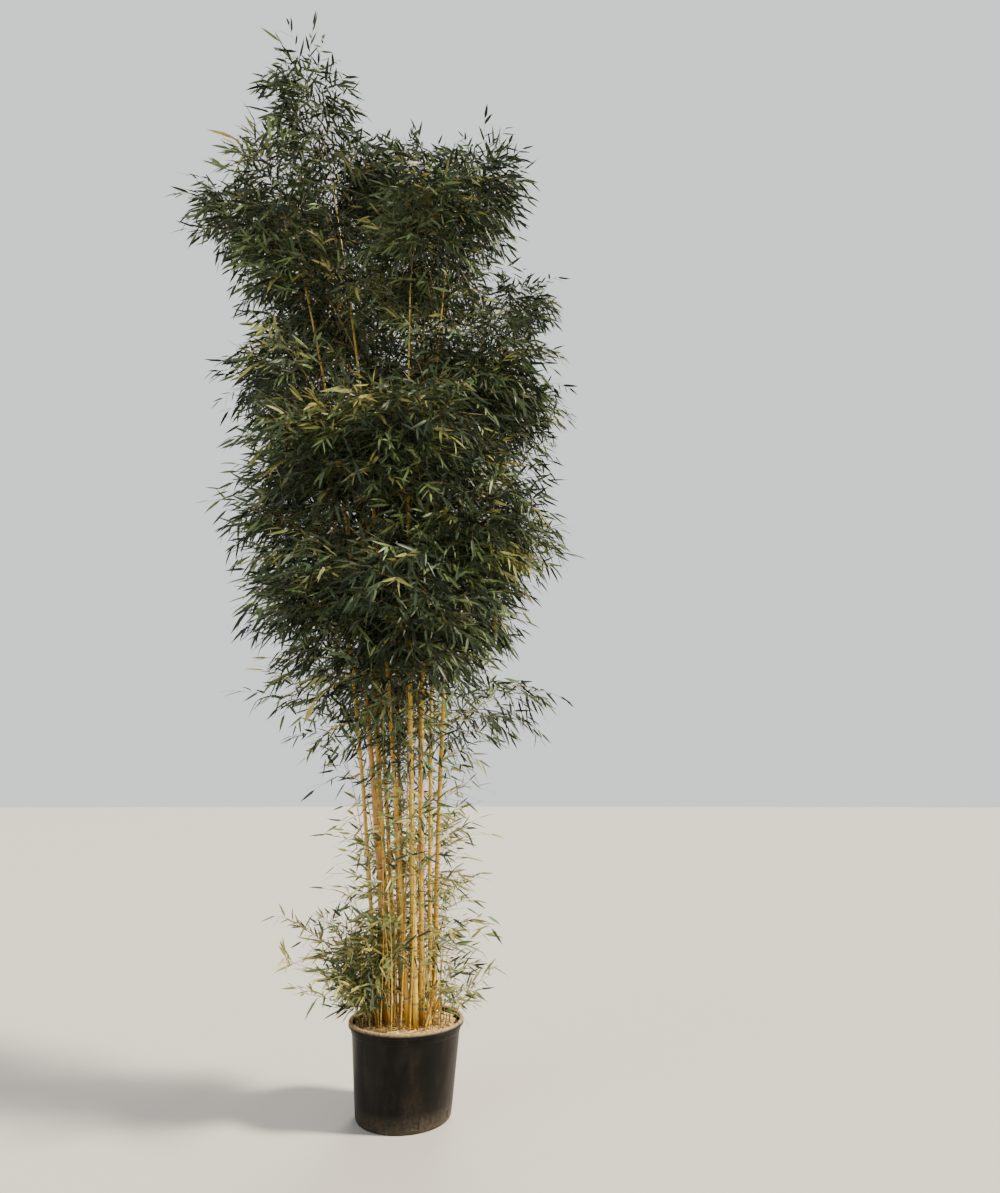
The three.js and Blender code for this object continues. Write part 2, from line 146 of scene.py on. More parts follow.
def add_node(
    tree: bpy.types.NodeTree,
    kind: str,
    settings: dict[str, object] | None = None,
    inputs: dict[str | int, object] | None = None,
) -> bpy.types.Node:
    """Adds a node with its settings and its inputs.

    Args:
        tree: the node tree.
        kind: the node's type, without its ShaderNode.
        settings: the node's own settings by name. The setting stops holds a colour ramp's places and colours.
        inputs: its inputs, as feed takes them.

    Returns:
        The node.
    """
    node = tree.nodes.new("ShaderNode" + kind)
    for name, value in (settings or {}).items():
        if name != "stops":
            setattr(node, name, value)
            continue
        elements = node.color_ramp.elements
        while len(elements) < len(value):
            elements.new(0.5)
        for element, (place, colour) in zip(elements, value):
            element.position, element.color = place, linear(colour)
    feed(tree, node, inputs or {})
    return node


@dataclass(frozen=True)
class Finish(ABC):
    """A finish: what a surface is made of and how it was made."""

    name: str

    def material(self) -> bpy.types.Material:
        """Gives the finish as a material, which is made the first time that it is asked for.

        Returns:
            The material.
        """
        made = bpy.data.materials.get(self.name)
        if made is None:
            made = bpy.data.materials.new(self.name)
            made.use_nodes = True
            feed(made.node_tree, made.node_tree.nodes["Principled BSDF"], self.dress(made.node_tree))
        return made

    @abstractmethod
    def dress(self, tree: bpy.types.NodeTree) -> dict[str | int, object]:
        """Adds the finish's patterns to a node tree and gives what they feed, by the shader's inputs."""

    def spots(
        self, tree: bpy.types.NodeTree, grain_mm: float, detail: float = 3.0, stretch: float = 1.0
    ) -> bpy.types.Node:
        """Adds noise whose spots have a real size, which may be drawn out along Z.

        Args:
            tree: the material's node tree.
            grain_mm: how wide a spot is, in millimetres.
            detail: how many finer layers lie on it.
            stretch: how many times longer than wide a spot is.

        Returns:
            The noise, from 0 to 1.
        """
        place = add_node(tree, "TexCoord").outputs["Object"]
        drawn = add_node(tree, "Mapping", inputs={"Vector": place, "Scale": (1, 1, 1 / stretch)})
        sizes = {"Vector": drawn, "Scale": 1000 / grain_mm, "Detail": detail}
        return add_node(tree, "TexNoise", inputs=sizes)

    def height(self, tree: bpy.types.NodeTree) -> bpy.types.NodeSocket:
        """Adds a pattern that gives the height over the ground, in metres."""
        place = add_node(tree, "TexCoord").outputs["Object"]
        return add_node(tree, "SeparateXYZ", inputs={0: place}).outputs["Z"]


@dataclass(frozen=True)
class Coat:
    """A coat of colour, whose share of the skin changes as a pattern goes from one value to another."""

    pattern: bpy.types.Node | bpy.types.NodeSocket
    values: tuple[float, float]
    shares: tuple[float, float]
    colour: str
    easing: str = "LINEAR"

    def over(self, tree: bpy.types.NodeTree, skin: bpy.types.Node) -> bpy.types.Node:
        """Lays the coat over a skin.

        Args:
            tree: the material's node tree.
            skin: the skin's colour.

        Returns:
            The coated colour.
        """
        spread = dict(zip(RANGE, (self.pattern, *self.values, *self.shares)))
        share = add_node(tree, "MapRange", {"interpolation_type": self.easing}, spread)
        return add_node(tree, "Mix", COLOURS, {0: share, 6: skin, 7: self.colour})


class CaneTone(Enum):
    """The tones of the canes, each as the skin's own colour, its pale streaks and its blush."""

    LEMON = ("#e6c23e", "#fbe67e", "#c08c36")
    GOLDEN = ("#d8ad32", "#f5d762", "#a66e28")
    AMBER = ("#bd8827", "#e4b64c", "#87521d")


CANE_TONES = (CaneTone.GOLDEN, CaneTone.LEMON, CaneTone.AMBER, CaneTone.GOLDEN, CaneTone.LEMON)


@dataclass(frozen=True)
class WaxyCane(Finish):
    """Bamboo cane: a hard silica skin under a thin wax.

    The wax gives a gloss. The skin is golden, paler in long streaks and a little green towards the tip.
    Each joint is a brown scar over a band of pale bloom, both drawn about twice as wide as real ones, so
    that they show.
    """

    name: str = "waxy_golden_cane"
    tone: CaneTone = CaneTone.GOLDEN
    green: str = "#94904a"
    scar: str = "#4a3318"
    bloom: str = "#efe3b8"
    bloom_mm: float = 26
    scar_mm: tuple[float, float] = (2.4, 6.5)

    def dress(self, tree: bpy.types.NodeTree) -> dict[str | int, object]:
        """Adds the cane's colours, its scars and its long grain.

        Args:
            tree: the material's node tree.

        Returns:
            What they feed, by the shader's inputs.
        """
        golden, pale, blush = self.tone.value
        streaks = self.spots(tree, 5, stretch=40)
        stops = [(0.32, blush), (0.46, golden), (0.58, golden), (0.7, pale)]
        skin = add_node(tree, "ValToRGB", {"stops": stops}, {"Fac": streaks})
        gap = add_node(tree, "SeparateXYZ", inputs={0: add_node(tree, "UVMap", {"uv_map": "joint_gap"})})
        nearest = add_node(tree, "Math", {"operation": "MINIMUM"}, {0: gap.outputs["X"], 1: gap.outputs["Y"]})
        scarred = tuple(width * MM for width in self.scar_mm)
        coats = (
            Coat(self.spots(tree, 260, detail=2), (0.52, 0.74), (0, 0.55), blush),
            Coat(self.height(tree), (2.2, 5.2), (0, 0.75), self.green),
            Coat(gap.outputs["Y"], (0, self.bloom_mm * MM), (0.5, 0), self.bloom, "SMOOTHSTEP"),
            Coat(nearest, scarred, (0.92, 0), self.scar, "SMOOTHSTEP"),
        )
        for coat in coats:
            skin = coat.over(tree, skin)
        gloss = {"Value": streaks, "To Min": 0.28, "To Max": 0.45}
        grain = {"Strength": 0.25, "Distance": 0.4 * MM, "Height": self.spots(tree, 2, stretch=60)}
        return {
            "Base Color": skin,
            "Roughness": add_node(tree, "MapRange", inputs=gloss),
            "Coat Weight": 0.45,
            "Coat Roughness": 0.22,
            "Normal": add_node(tree, "Bump", inputs=grain),
        }


class LeafTint(Enum):
    """The tints of the leaves, which are dealt out by spray. The darkest two are painted shade and LIT is
    painted light; NEW and YOUNG are the yellow-green of young leaves, partly their own colour, partly painted
    sunlight.
    """

    DEEP = "#242f23"
    SHADED = "#2f3d2c"
    MIDDLE = "#41523a"
    LIT = "#667b4e"
    NEW = "#919657"
    YOUNG = "#ada55e"
    STRAW = "#969064"


@dataclass(frozen=True)
class BambooLeaf(Finish):
    """Living leaf: a thin blade with a satin skin, of one tint with faint clouding."""

    name: str = "bamboo_leaf"
    tint: LeafTint = LeafTint.MIDDLE

    def dress(self, tree: bpy.types.NodeTree) -> dict[str | int, object]:
        """Adds the leaf's tint and its clouds.

        Args:
            tree: the material's node tree.

        Returns:
            What they feed, by the shader's inputs.
        """
        clouds = {"Value": self.spots(tree, 30, detail=2), "To Min": 0.82, "To Max": 1.2}
        shade = add_node(tree, "MapRange", inputs=clouds)
        tinted = add_node(tree, "HueSaturation", inputs={"Value": shade, "Color": self.tint.value})
        return {"Base Color": tinted, "Roughness": 0.42, "IOR": 1.42}


@dataclass(frozen=True)
class GreenTwig(Finish):
    """Young bamboo branch: the cane's own skin, thinner, duller and greener."""

    name: str = "green_gold_twig"
    bark: str = "#a3925a"
    shaded: str = "#6b653d"

    def dress(self, tree: bpy.types.NodeTree) -> dict[str | int, object]:
        """Adds the twig's two tones.

        Args:
            tree: the material's node tree.

        Returns:
            What they feed, by the shader's inputs.
        """
        stops = [(0.4, self.shaded), (0.62, self.bark)]
        tones = add_node(tree, "ValToRGB", {"stops": stops}, {"Fac": self.spots(tree, 40)})
        return {"Base Color": tones, "Roughness": 0.5}


@dataclass(frozen=True)
class MouldedPolyethylene(Finish):
    """Black nursery pot: moulded polyethylene, satin and a little uneven.

    Its black is dulled by dust, which lies thickest on the rim and near the ground, and by the faint runs
    that water has left down the wall. The rim's paler top is partly dust and partly a painted highlight.
    """

    name: str = "moulded_black_polyethylene"
    black: str = "#080706"
    worn: str = "#100d0b"
    dust: str = "#867b68"
    rim_dust_and_highlight: str = "#c9ad82"
    rim_height: float = 0.45
    dusty_lit_rim: float = 0.015
    dusty_foot: float = 0.09

    def dress(self, tree: bpy.types.NodeTree) -> dict[str | int, object]:
        """Adds the black, its wear, its dust and the painted highlight on the rim's top.

        Args:
            tree: the material's node tree.

        Returns:
            What they feed, by the shader's inputs.
        """
        stops = [(0.35, self.black), (0.7, self.worn)]
        plastic = add_node(tree, "ValToRGB", {"stops": stops}, {"Fac": self.spots(tree, 70)})
        height = self.height(tree)
        layers = (
            # The rim's top: dust and a painted highlight.
            (height, self.rim_height - self.dusty_lit_rim, self.rim_height, 0, 1.25),
            (height, 0, self.dusty_foot, 0.34, 0),
            (self.spots(tree, 85, 6, stretch=2.2), 0.46, 0.78, 0, 0.11),
            (self.spots(tree, 14, 5), 0.25, 0.7, 0.3, 1),
        )
        rim, foot, runs, broken = (
            add_node(tree, "MapRange", inputs=dict(zip(RANGE, layer))) for layer in layers
        )
        dust_and_highlight = rim
        for operation, layer in (("ADD", foot), ("ADD", runs), ("MULTIPLY", broken)):
            dust_and_highlight = add_node(tree, "Math", {"operation": operation}, {0: dust_and_highlight, 1: layer})
        # Towards the rim's top the dust turns paler: partly dust, partly a painted highlight.
        dust = add_node(tree, "Mix", COLOURS, {0: rim, 6: self.dust, 7: self.rim_dust_and_highlight})
        dulling = {"Value": dust_and_highlight, "To Min": 0.4, "To Max": 0.95}
        dents = {"Strength": 0.35, "Distance": 0.6 * MM, "Height": self.spots(tree, 9, 4)}
        return {
            "Base Color": add_node(tree, "Mix", COLOURS, {0: dust_and_highlight, 6: plastic, 7: dust}),
            "Roughness": add_node(tree, "MapRange", inputs=dulling),
            "Specular IOR Level": 0.13,
            "Normal": add_node(tree, "Bump", inputs=dents),
        }


class ChipTone(Enum):
    """The tones of the litter's pieces, from light to dark."""

    STRAW = ("#fae8b2", "#e2c57e")
    TAN = ("#ecc486", "#c2904f")
    ORANGE = ("#cf8a4f", "#a06134")
    UMBER = ("#7d5a3b", "#553b25")
    GREY = ("#a59782", "#7d7160")


@dataclass(frozen=True)
class LooseLitter(Finish):
    """Bark chips, straw and shed leaves: dry, matt and fibrous, of two near tones in fine streaks."""

    name: str = "loose_litter"
    tone: ChipTone = ChipTone.TAN

    def dress(self, tree: bpy.types.NodeTree) -> dict[str | int, object]:
        """Adds the two tones and the fibres.

        Args:
            tree: the material's node tree.

        Returns:
            What they feed, by the shader's inputs.
        """
        light, dark = self.tone.value
        fibres = self.spots(tree, 4, 4)
        tones = add_node(tree, "ValToRGB", {"stops": [(0.35, dark), (0.62, light)]}, {"Fac": fibres})
        rough = add_node(tree, "Bump", inputs={"Strength": 0.5, "Distance": 0.8 * MM, "Height": fibres})
        return {"Base Color": tones, "Roughness": 0.85, "Normal": rough}


@dataclass(frozen=True)
class PaintedFloor(Finish):
    """The studio's floor: plain pale matt paint."""

    name: str = "pale_studio_paint"
    paint: str = "#dedbd5"

    def dress(self, tree: bpy.types.NodeTree) -> dict[str | int, object]:
        """Gives the plain paint, by the shader's inputs."""
        return {"Base Color": self.paint, "Roughness": 0.9}


def placed(name: str, data: bpy.types.ID) -> bpy.types.Object:
    """Puts an object in the scene, at the origin.

    Args:
        name: its name.
        data: its mesh, its light or its camera.

    Returns:
        The object.
    """
    thing = bpy.data.objects.new(name, data)
    bpy.context.scene.collection.objects.link(thing)
    return thing


def put_in_scene(mesh: bpy.types.Mesh, finishes: list[Finish], nodes: list[str]) -> None:
    """Makes a finished mesh a piece that rides on the plant.

    Args:
        mesh: the mesh, whose name the piece takes.
        finishes: the finishes of its material slots.
        nodes: the CAD nodes that it stands for.
    """
    for finish in finishes:
        mesh.materials.append(finish.material())
    piece = placed(mesh.name, mesh)
    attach(piece, "root")
    if nodes:
        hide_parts(*nodes)
    LOG.info("%s: %d faces", piece.name, len(mesh.polygons))


def mesh_from(shape: bmesh.types.BMesh, name: str, smooth: bool = True) -> bpy.types.Mesh:
    """Turns a finished bmesh into a mesh and frees it.

    Args:
        shape: the bmesh.
        name: the mesh's name.
        smooth: whether its faces are shaded smooth.

    Returns:
        The mesh.
    """
    for face in shape.faces:
        face.smooth = smooth
    mesh = bpy.data.meshes.new(name)
    shape.to_mesh(mesh)
    shape.free()
    return mesh


def arrays_from(shape: bmesh.types.BMesh) -> tuple[np.ndarray, np.ndarray]:
    """Turns a small bmesh into arrays and frees it.

    Args:
        shape: the bmesh.

    Returns:
        Its corners, and its triangles by their corners' numbers.
    """
    bmesh.ops.triangulate(shape, faces=shape.faces)
    shape.verts.index_update()
    corners = np.array([corner.co for corner in shape.verts])
    faces = np.array([[corner.index for corner in face.verts] for face in shape.faces])
    shape.free()
    return corners, faces


def spun(profile: list[tuple[float, float]], steps: int) -> bmesh.types.BMesh:
    """Spins a profile about Z into a closed shape.

    Args:
        profile: radius and height pairs, which start and end on the axis.
        steps: the steps of a full turn.

    Returns:
        The shape, with its faces outwards.
    """
    shape = bmesh.new()
    corners = [shape.verts.new((radius, 0, height)) for radius, height in profile]
    geom = corners + [shape.edges.new(pair) for pair in zip(corners, corners[1:])]
    turn = {"axis": (0, 0, 1), "cent": (0, 0, 0), "angle": FULL_TURN, "use_merge": True}
    bmesh.ops.spin(shape, geom=geom, steps=steps, **turn)
    bmesh.ops.remove_doubles(shape, verts=shape.verts, dist=0.01 * MM)
    bmesh.ops.recalc_face_normals(shape, faces=shape.faces)
    return shape


@dataclass
class JoinedPieces:
    """Many small pieces that are gathered as arrays and become one mesh."""

    corners: list[np.ndarray] = field(default_factory=list)
    faces: list[np.ndarray] = field(default_factory=list)
    slots: list[np.ndarray] = field(default_factory=list)
    count: int = 0

    def add(self, corners: np.ndarray, faces: np.ndarray, slots: np.ndarray) -> None:
        """Adds pieces of one pattern.

        Args:
            corners: the corners, by piece, corner and axis.
            faces: the triangles of one piece, by its corners' numbers.
            slots: the material slot of each piece.
        """
        pieces, per_piece = corners.shape[:2]
        starts = self.count + per_piece * np.arange(pieces)
        self.corners.append(corners.reshape(-1, 3))
        self.faces.append((faces[None] + starts[:, None, None]).reshape(-1, 3))
        self.slots.append(np.repeat(slots, len(faces)))
        self.count += pieces * per_piece

    def mesh(self, name: str) -> bpy.types.Mesh:
        """Joins what was added.

        Args:
            name: the mesh's name.

        Returns:
            The mesh, shaded smooth.
        """
        corners, faces = np.concatenate(self.corners), np.concatenate(self.faces)
        mesh = bpy.data.meshes.new(name)
        mesh.vertices.add(len(corners))
        mesh.vertices.foreach_set("co", corners.astype(np.float32).ravel())
        mesh.loops.add(faces.size)
        mesh.loops.foreach_set("vertex_index", faces.astype(np.int32).ravel())
        mesh.polygons.add(len(faces))
        mesh.polygons.foreach_set("loop_start", np.arange(0, faces.size, 3, dtype=np.int32))
        mesh.polygons.foreach_set("material_index", np.concatenate(self.slots).astype(np.int32))
        mesh.polygons.foreach_set("use_smooth", np.ones(len(faces), dtype=bool))
        mesh.update(calc_edges=True)
        mesh.validate()
        return mesh


@dataclass(frozen=True)
class Rods:
    """The pattern of a thin rod along a path: rings of a few sides, closed at its end by a point."""

    sides: int = 3

    def add_to(self, pieces: JoinedPieces, paths: np.ndarray, radii: np.ndarray) -> None:
        """Adds rods along paths of equally many points.

        Args:
            pieces: what the rods join.
            paths: the points, by rod, ring and axis.
            radii: the radii, by rod and ring.
        """
        rods, rings = paths.shape[:2]
        along = unit(np.gradient(paths, axis=1))
        side = unit(np.cross(np.array([0.13, 1.0, 0.07]), along))
        across = np.cross(side, along)
        angles = FULL_TURN * np.arange(self.sides) / self.sides
        spread = side[:, :, None] * np.cos(angles)[:, None] + across[:, :, None] * np.sin(angles)[:, None]
        corners = paths[:, :, None] + spread * radii[:, :, None, None]
        ends = np.stack([paths[:, 0], paths[:, -1] + along[:, -1] * radii[:, -1, None]], axis=1)
        corners = np.concatenate([corners.reshape(rods, -1, 3), ends], axis=1)
        pieces.add(corners, self.triangles(rings), np.zeros(rods))

    def triangles(self, rings: int) -> np.ndarray:
        """Gives the triangles of a rod.

        Args:
            rings: how many rings it has.

        Returns:
            The corners' numbers, by triangle.
        """
        faces = []
        last = (rings - 1) * self.sides
        foot, tip = rings * self.sides, rings * self.sides + 1
        for i in range(self.sides):
            j = (i + 1) % self.sides
            for start in range(0, last, self.sides):
                a, b, c, d = start + i, start + j, start + self.sides + j, start + self.sides + i
                faces += [(a, c, b), (a, d, c)]
            faces += [(foot, i, j), (tip, last + j, last + i)]
        return np.array(faces)


@dataclass
class LeafBatch:
    """The places, directions and sizes of many leaves."""

    root: np.ndarray
    along: np.ndarray
    over: np.ndarray
    length: np.ndarray
    width: np.ndarray
    curl: np.ndarray
    tint: np.ndarray

    @staticmethod
    def joined(batches: list["LeafBatch"]) -> "LeafBatch":
        """Gives several batches as one."""
        columns = zip(*(vars(batch).values() for batch in batches))
        return LeafBatch(*(np.concatenate(column) for column in columns))

    def tips(self) -> np.ndarray:
        """Gives the leaves' tips."""
        return self.root + self.along * self.length[:, None]

    def picked(self, kept: np.ndarray) -> "LeafBatch":
        """Gives the leaves that an array of true and false picks."""
        return LeafBatch(*(value[kept] for value in vars(self).values()))


@dataclass(frozen=True)
class LeafBlade:
    """The pattern of a bamboo leaf: a lance-shaped blade, folded along its midrib and bowed to its tip."""

    stations: tuple[float, ...] = (0, 0.26, 0.66, 1)
    widths: tuple[float, ...] = (0.0, 1.0, 0.76, 0.0)
    fold: float = 0.2
    bow: float = 0.1

    def pattern(self) -> tuple[np.ndarray, np.ndarray]:
        """Shapes one blade along +X, one metre long and one metre wide.

        Returns:
            Its corners and its triangles.
        """
        shape = bmesh.new()
        spans = len(self.stations) - 1
        bmesh.ops.create_grid(shape, x_segments=spans, y_segments=2, size=0.5)
        for corner in shape.verts:
            station = round((corner.co.x + 0.5) * spans)
            edge = corner.co.y * self.widths[station]
            corner.co = (self.stations[station], edge, self.fold * abs(edge))
        bmesh.ops.remove_doubles(shape, verts=shape.verts, dist=MM)
        return arrays_from(shape)

    def add_to(self, pieces: JoinedPieces, leaves: LeafBatch) -> None:
        """Adds blades where a batch of leaves says.

        Args:
            pieces: what the blades join.
            leaves: the leaves' places.
        """
        corners, faces = self.pattern()
        side = np.cross(leaves.over, leaves.along)
        x, y, z = corners[None, :, 0], corners[None, :, 1], corners[None, :, 2]
        length, width = leaves.length[:, None], leaves.width[:, None]
        lift = z * width - self.bow * leaves.curl[:, None] * x**2 * length
        blades = leaves.root[:, None] + (x * length)[..., None] * leaves.along[:, None]
        blades += (y * width)[..., None] * side[:, None] + lift[..., None] * leaves.over[:, None]
        pieces.add(blades, faces, leaves.tint)


@dataclass(frozen=True)
class Bow:
    """A limb's curve: a start, a point that draws it aside, and an end."""

    start: np.ndarray
    control: np.ndarray
    end: np.ndarray

    @staticmethod
    def rising(start: np.ndarray, out: np.ndarray, rise: np.ndarray) -> "Bow":
        """Gives a curve that rises first and leans out later."""
        return Bow(start, start + 0.45 * out + 0.8 * rise, start + out + rise)

    def point(self, t: np.ndarray | float) -> np.ndarray:
        """Gives the point at a share of the curve, or one for each of an array of shares."""
        t = np.asarray(t)[..., None]
        return self.start * (1 - t) ** 2 + self.control * 2 * t * (1 - t) + self.end * t**2

    def tangent(self, t: np.ndarray | float) -> np.ndarray:
        """Gives the direction at a share of the curve, or one for each of an array of shares."""
        t = np.asarray(t)[..., None]
        return unit((self.control - self.start) * (1 - t) + (self.end - self.control) * t)


@dataclass(frozen=True)
class Ring:
    """A ring of a jointed limb. Its gaps, in metres, are to the joint below it and to the one above it."""

    middle: np.ndarray
    along: np.ndarray
    radius: float
    gaps: tuple[float, float] = (1.0, 1.0)


class Jointed(ABC):
    """A jointed limb. Its ridge gives the rings at a joint: millimetres over the joint, and their swell."""

    sides: int
    ridge: tuple[tuple[float, float], ...]

    @abstractmethod
    def point(self, t: float) -> np.ndarray:
        """Gives the middle line's point at a share of the limb."""

    @abstractmethod
    def tangent(self, t: float) -> np.ndarray:
        """Gives the middle line's direction at a share of the limb."""

    @abstractmethod
    def radius_at(self, t: float) -> float:
        """Gives the radius at a share of the limb, leaving out its joints."""

    @abstractmethod
    def rings(self) -> Iterator[Ring]:
        """Gives the surface's rings, from the foot to the tip."""

    def ring(self, share: float, swell: float = 1.0, gaps: tuple[float, float] = (1.0, 1.0)) -> Ring:
        """Gives the ring at a share of the limb, with its swell over the plain limb and its gaps."""
        return Ring(self.point(share), self.tangent(min(share, 1)), self.radius_at(share) * swell, gaps)

    def joint_rings(self, share: float, length: float) -> Iterator[Ring]:
        """Gives the rings of a joint's ridge.

        Args:
            share: where on the limb the joint is.
            length: the limb's length, in metres.

        Returns:
            The rings, from under the joint to over it.
        """
        for offset, swell in self.ridge:
            gaps = (offset * MM, 1.0) if offset >= 0 else (1.0, -offset * MM)
            yield self.ring(share + offset * MM / length, swell, gaps)

    def shape(self) -> bmesh.types.BMesh:
        """Draws a ring out along the limb and closes both ends.

        Returns:
            The shape, whose UV map joint_gap holds the gaps of the rings.
        """
        shape = bmesh.new()
        gaps = shape.verts.layers.float_vector.new("gaps")
        uv = shape.loops.layers.uv.new("joint_gap")
        corners = bmesh.ops.create_circle(shape, segments=self.sides, radius=1, cap_ends=True)["verts"]
        edges = list(shape.edges)
        circle = np.array([corner.co for corner in corners])
        for index, ring in enumerate(self.rings()):
            if index:
                grown = bmesh.ops.extrude_edge_only(shape, edges=edges)["geom"]
                corners = [item for item in grown if isinstance(item, bmesh.types.BMVert)]
                edges = [item for item in grown if isinstance(item, bmesh.types.BMEdge)]
            side = unit(np.cross([0.0, 1.0, 0.0], ring.along))
            across = np.cross(side, ring.along)
            for corner, (x, y, _) in zip(corners, circle):
                corner.co = ring.middle + (side * x + across * y) * ring.radius
                corner[gaps] = (*ring.gaps, 0)
        bmesh.ops.contextual_create(shape, geom=edges)
        bmesh.ops.recalc_face_normals(shape, faces=shape.faces)
        for face in shape.faces:
            for loop in face.loops:
                loop[uv].uv = loop.vert[gaps].xy
        return shape


@dataclass(frozen=True)
class Clump:
    """The canes' sizes, as in the part's source."""

    count: int = 14
    groups: int = 4
    group_turn: float = math.radians(200)
    group_ring: float = 0.122
    group_radius: float = 0.038
    group_jitter: float = 0.006
    fanning: float = 0.65
    tallest: float = 5.26
    shortest: float = 3.9
    doming: float = 0.55
    thickest: float = 0.0175
    thinnest: float = 0.011
    spread: float = 0.56
    stray: float = 0.15
    nod: float = 0.16
    lean: float = 0.4
    lean_azimuth: float = math.radians(198)


@dataclass(frozen=True)
class Cane(Jointed):
    """One cane: its middle line and thickness by the source's rule, and its jointed surface."""

    number: int
    clump: Clump = Clump()
    joints: int = 20
    sides: int = 14
    crowding: float = 0.45
    ridge: tuple[tuple[float, float], ...] = (
        (-14, 1.0), (-4, 1.02), (-1, 1.12), (1.2, 1.13), (3.5, 1.0), (8, 1.07), (14, 1.02), (24, 1.0),
    )

    @property
    def name(self) -> str:
        """The cane's CAD node."""
        return f"culm_{self.number + 1:02d}"

    @property
    def order(self) -> float:
        """How far out the cane leans, from 0 for an upright one to 1."""
        return math.sqrt((self.number + 0.5) / self.clump.count)

    @property
    def group_way(self) -> float:
        """The azimuth of the cane's group."""
        return self.clump.group_turn + (self.number % self.clump.groups) * FULL_TURN / self.clump.groups

    @property
    def group_middle(self) -> np.ndarray:
        """The middle of the cane's group."""
        return level(self.group_way) * self.clump.group_ring

    @property
    def foot(self) -> np.ndarray:
        """The middle of the cane's foot.

        Returns:
            The point.
        """
        way = self.group_way + math.pi * (1 + (self.number // self.clump.groups) / 2)
        aside = level(between(0, FULL_TURN, self.number, 2)) * self.clump.group_jitter
        return self.group_middle + level(way) * self.clump.group_radius + aside + UP * FOOT_LEVEL

    @property
    def azimuth(self) -> float:
        """The way that the cane leans outwards."""
        out = self.foot - self.group_middle * self.clump.fanning
        return math.atan2(out[1], out[0]) + between(-0.35, 0.35, self.number, 1)

    @property
    def plume_azimuth(self) -> float:
        """The way that the plume bows, which is inwards on the inner canes."""
        return self.azimuth + (math.pi if self.number < self.clump.groups else 0)

    @property
    def height(self) -> float:
        """The cane's height over its foot, before its tip nods.

        Returns:
            The height, in metres.
        """
        by_chance = chance(self.number, 3)
        shortfall = by_chance + (self.order**2 - by_chance) * self.clump.doming
        return self.clump.tallest + (self.clump.shortest - self.clump.tallest) * shortfall

    @property
    def radius(self) -> float:
        """The cane's radius at its foot."""
        return between(self.clump.thinnest, self.clump.thickest, self.number, 4)

    def radius_at(self, t: float) -> float:
        """Gives the radius at a share of the cane, leaving out its joints."""
        return self.radius * (1 - 0.2 * t - 0.55 * t**2)

    def point(self, t: float) -> np.ndarray:
        """Gives the middle line's point at a share of the cane.

        Args:
            t: the share.

        Returns:
            The point.
        """
        spread = self.clump.spread * (0.1 + 0.9 * self.order)
        outward = spread * (0.3 * t + 0.7 * max(t, 0) ** 2.6)
        lean = self.clump.lean * (0.7 * t + 0.3 * t**2)
        rise = self.height * t - self.clump.nod * spread * max(t, 0) ** 4
        stray = level(between(0, FULL_TURN, self.number, 5)) * self.clump.stray * chance(self.number, 6)
        upright = self.foot + level(self.azimuth) * outward + UP * rise
        return upright + level(self.clump.lean_azimuth) * lean + stray * t

    def tangent(self, t: float) -> np.ndarray:
        """Gives the middle line's direction at a share of the cane."""
        low, high = max(t - 1e-4, 0), min(t + 1e-4, 1)
        return unit(self.point(high) - self.point(low))

    def joint_at(self, index: int) -> float:
        """Gives a joint's share of the cane. Every second joint is one of the source's."""
        even = FULL_TURN * index / self.joints
        return (even - self.crowding * math.sin(even)) / FULL_TURN

    def rings(self) -> Iterator[Ring]:
        """Gives the surface's rings: a ridge at each joint, and one ring half way to the next.

        Returns:
            The rings, from the foot to the tip.
        """
        shares = [self.joint_at(index) for index in range(1, self.joints + 1)]
        yield self.ring(0)
        for share, following in zip(shares, shares[1:]):
            yield from self.joint_rings(share, self.height)
            yield self.ring((share + following) / 2)
        yield self.ring(1)

    def build(self) -> None:
        """Builds the cane, in one of the tones."""
        tone = CANE_TONES[self.number % len(CANE_TONES)]
        mesh = mesh_from(self.shape(), f"cane_{self.number + 1:02d}")
        put_in_scene(mesh, [WaxyCane(f"waxy_cane_{tone.name.lower()}", tone)], [self.name])


@dataclass(frozen=True)
class Growth:
    """How a mass of foliage grows: the source's sizes, and what is finer here.

    Its stem's reach and rise are shares of its length, and a side mass leaves its cane between the lowest
    and the highest share. Its twigs shorten along the stem from the gain by the loss. Its sprays turn down
    by up to the fall and up by up to the lift, and their leaves hang. Youth makes its leaves lighter and
    yellower: partly the own colour of young leaves, partly painted sunlight. Its number is its cane's,
    counted on from numbers_from.
    """

    length: float
    reach: float = 0.0
    rise: float = 0.0
    lowest: float = 0.0
    highest: float = 0.0
    numbers_from: int = 0
    twigs: int = 16
    gain: float = 1.15
    loss: float = 0.5
    sprays: int = 8
    leaves: int = 8
    size: float = 1.0
    fall: float = 0.8
    lift: float = 0.3
    hang: float = 0.55
    youth_and_sunlight: float = 0.0


LOW_SPRAY = Growth(length=0.88, reach=0.58, rise=0.62, lowest=0.34, highest=0.56, numbers_from=100)
HIGH_SPRAY = Growth(length=0.86, reach=0.56, rise=0.66, lowest=0.59, highest=0.85, numbers_from=200)
PLUME = Growth(length=0.76, reach=0.34, rise=0.22, gain=1.22, loss=0.87)


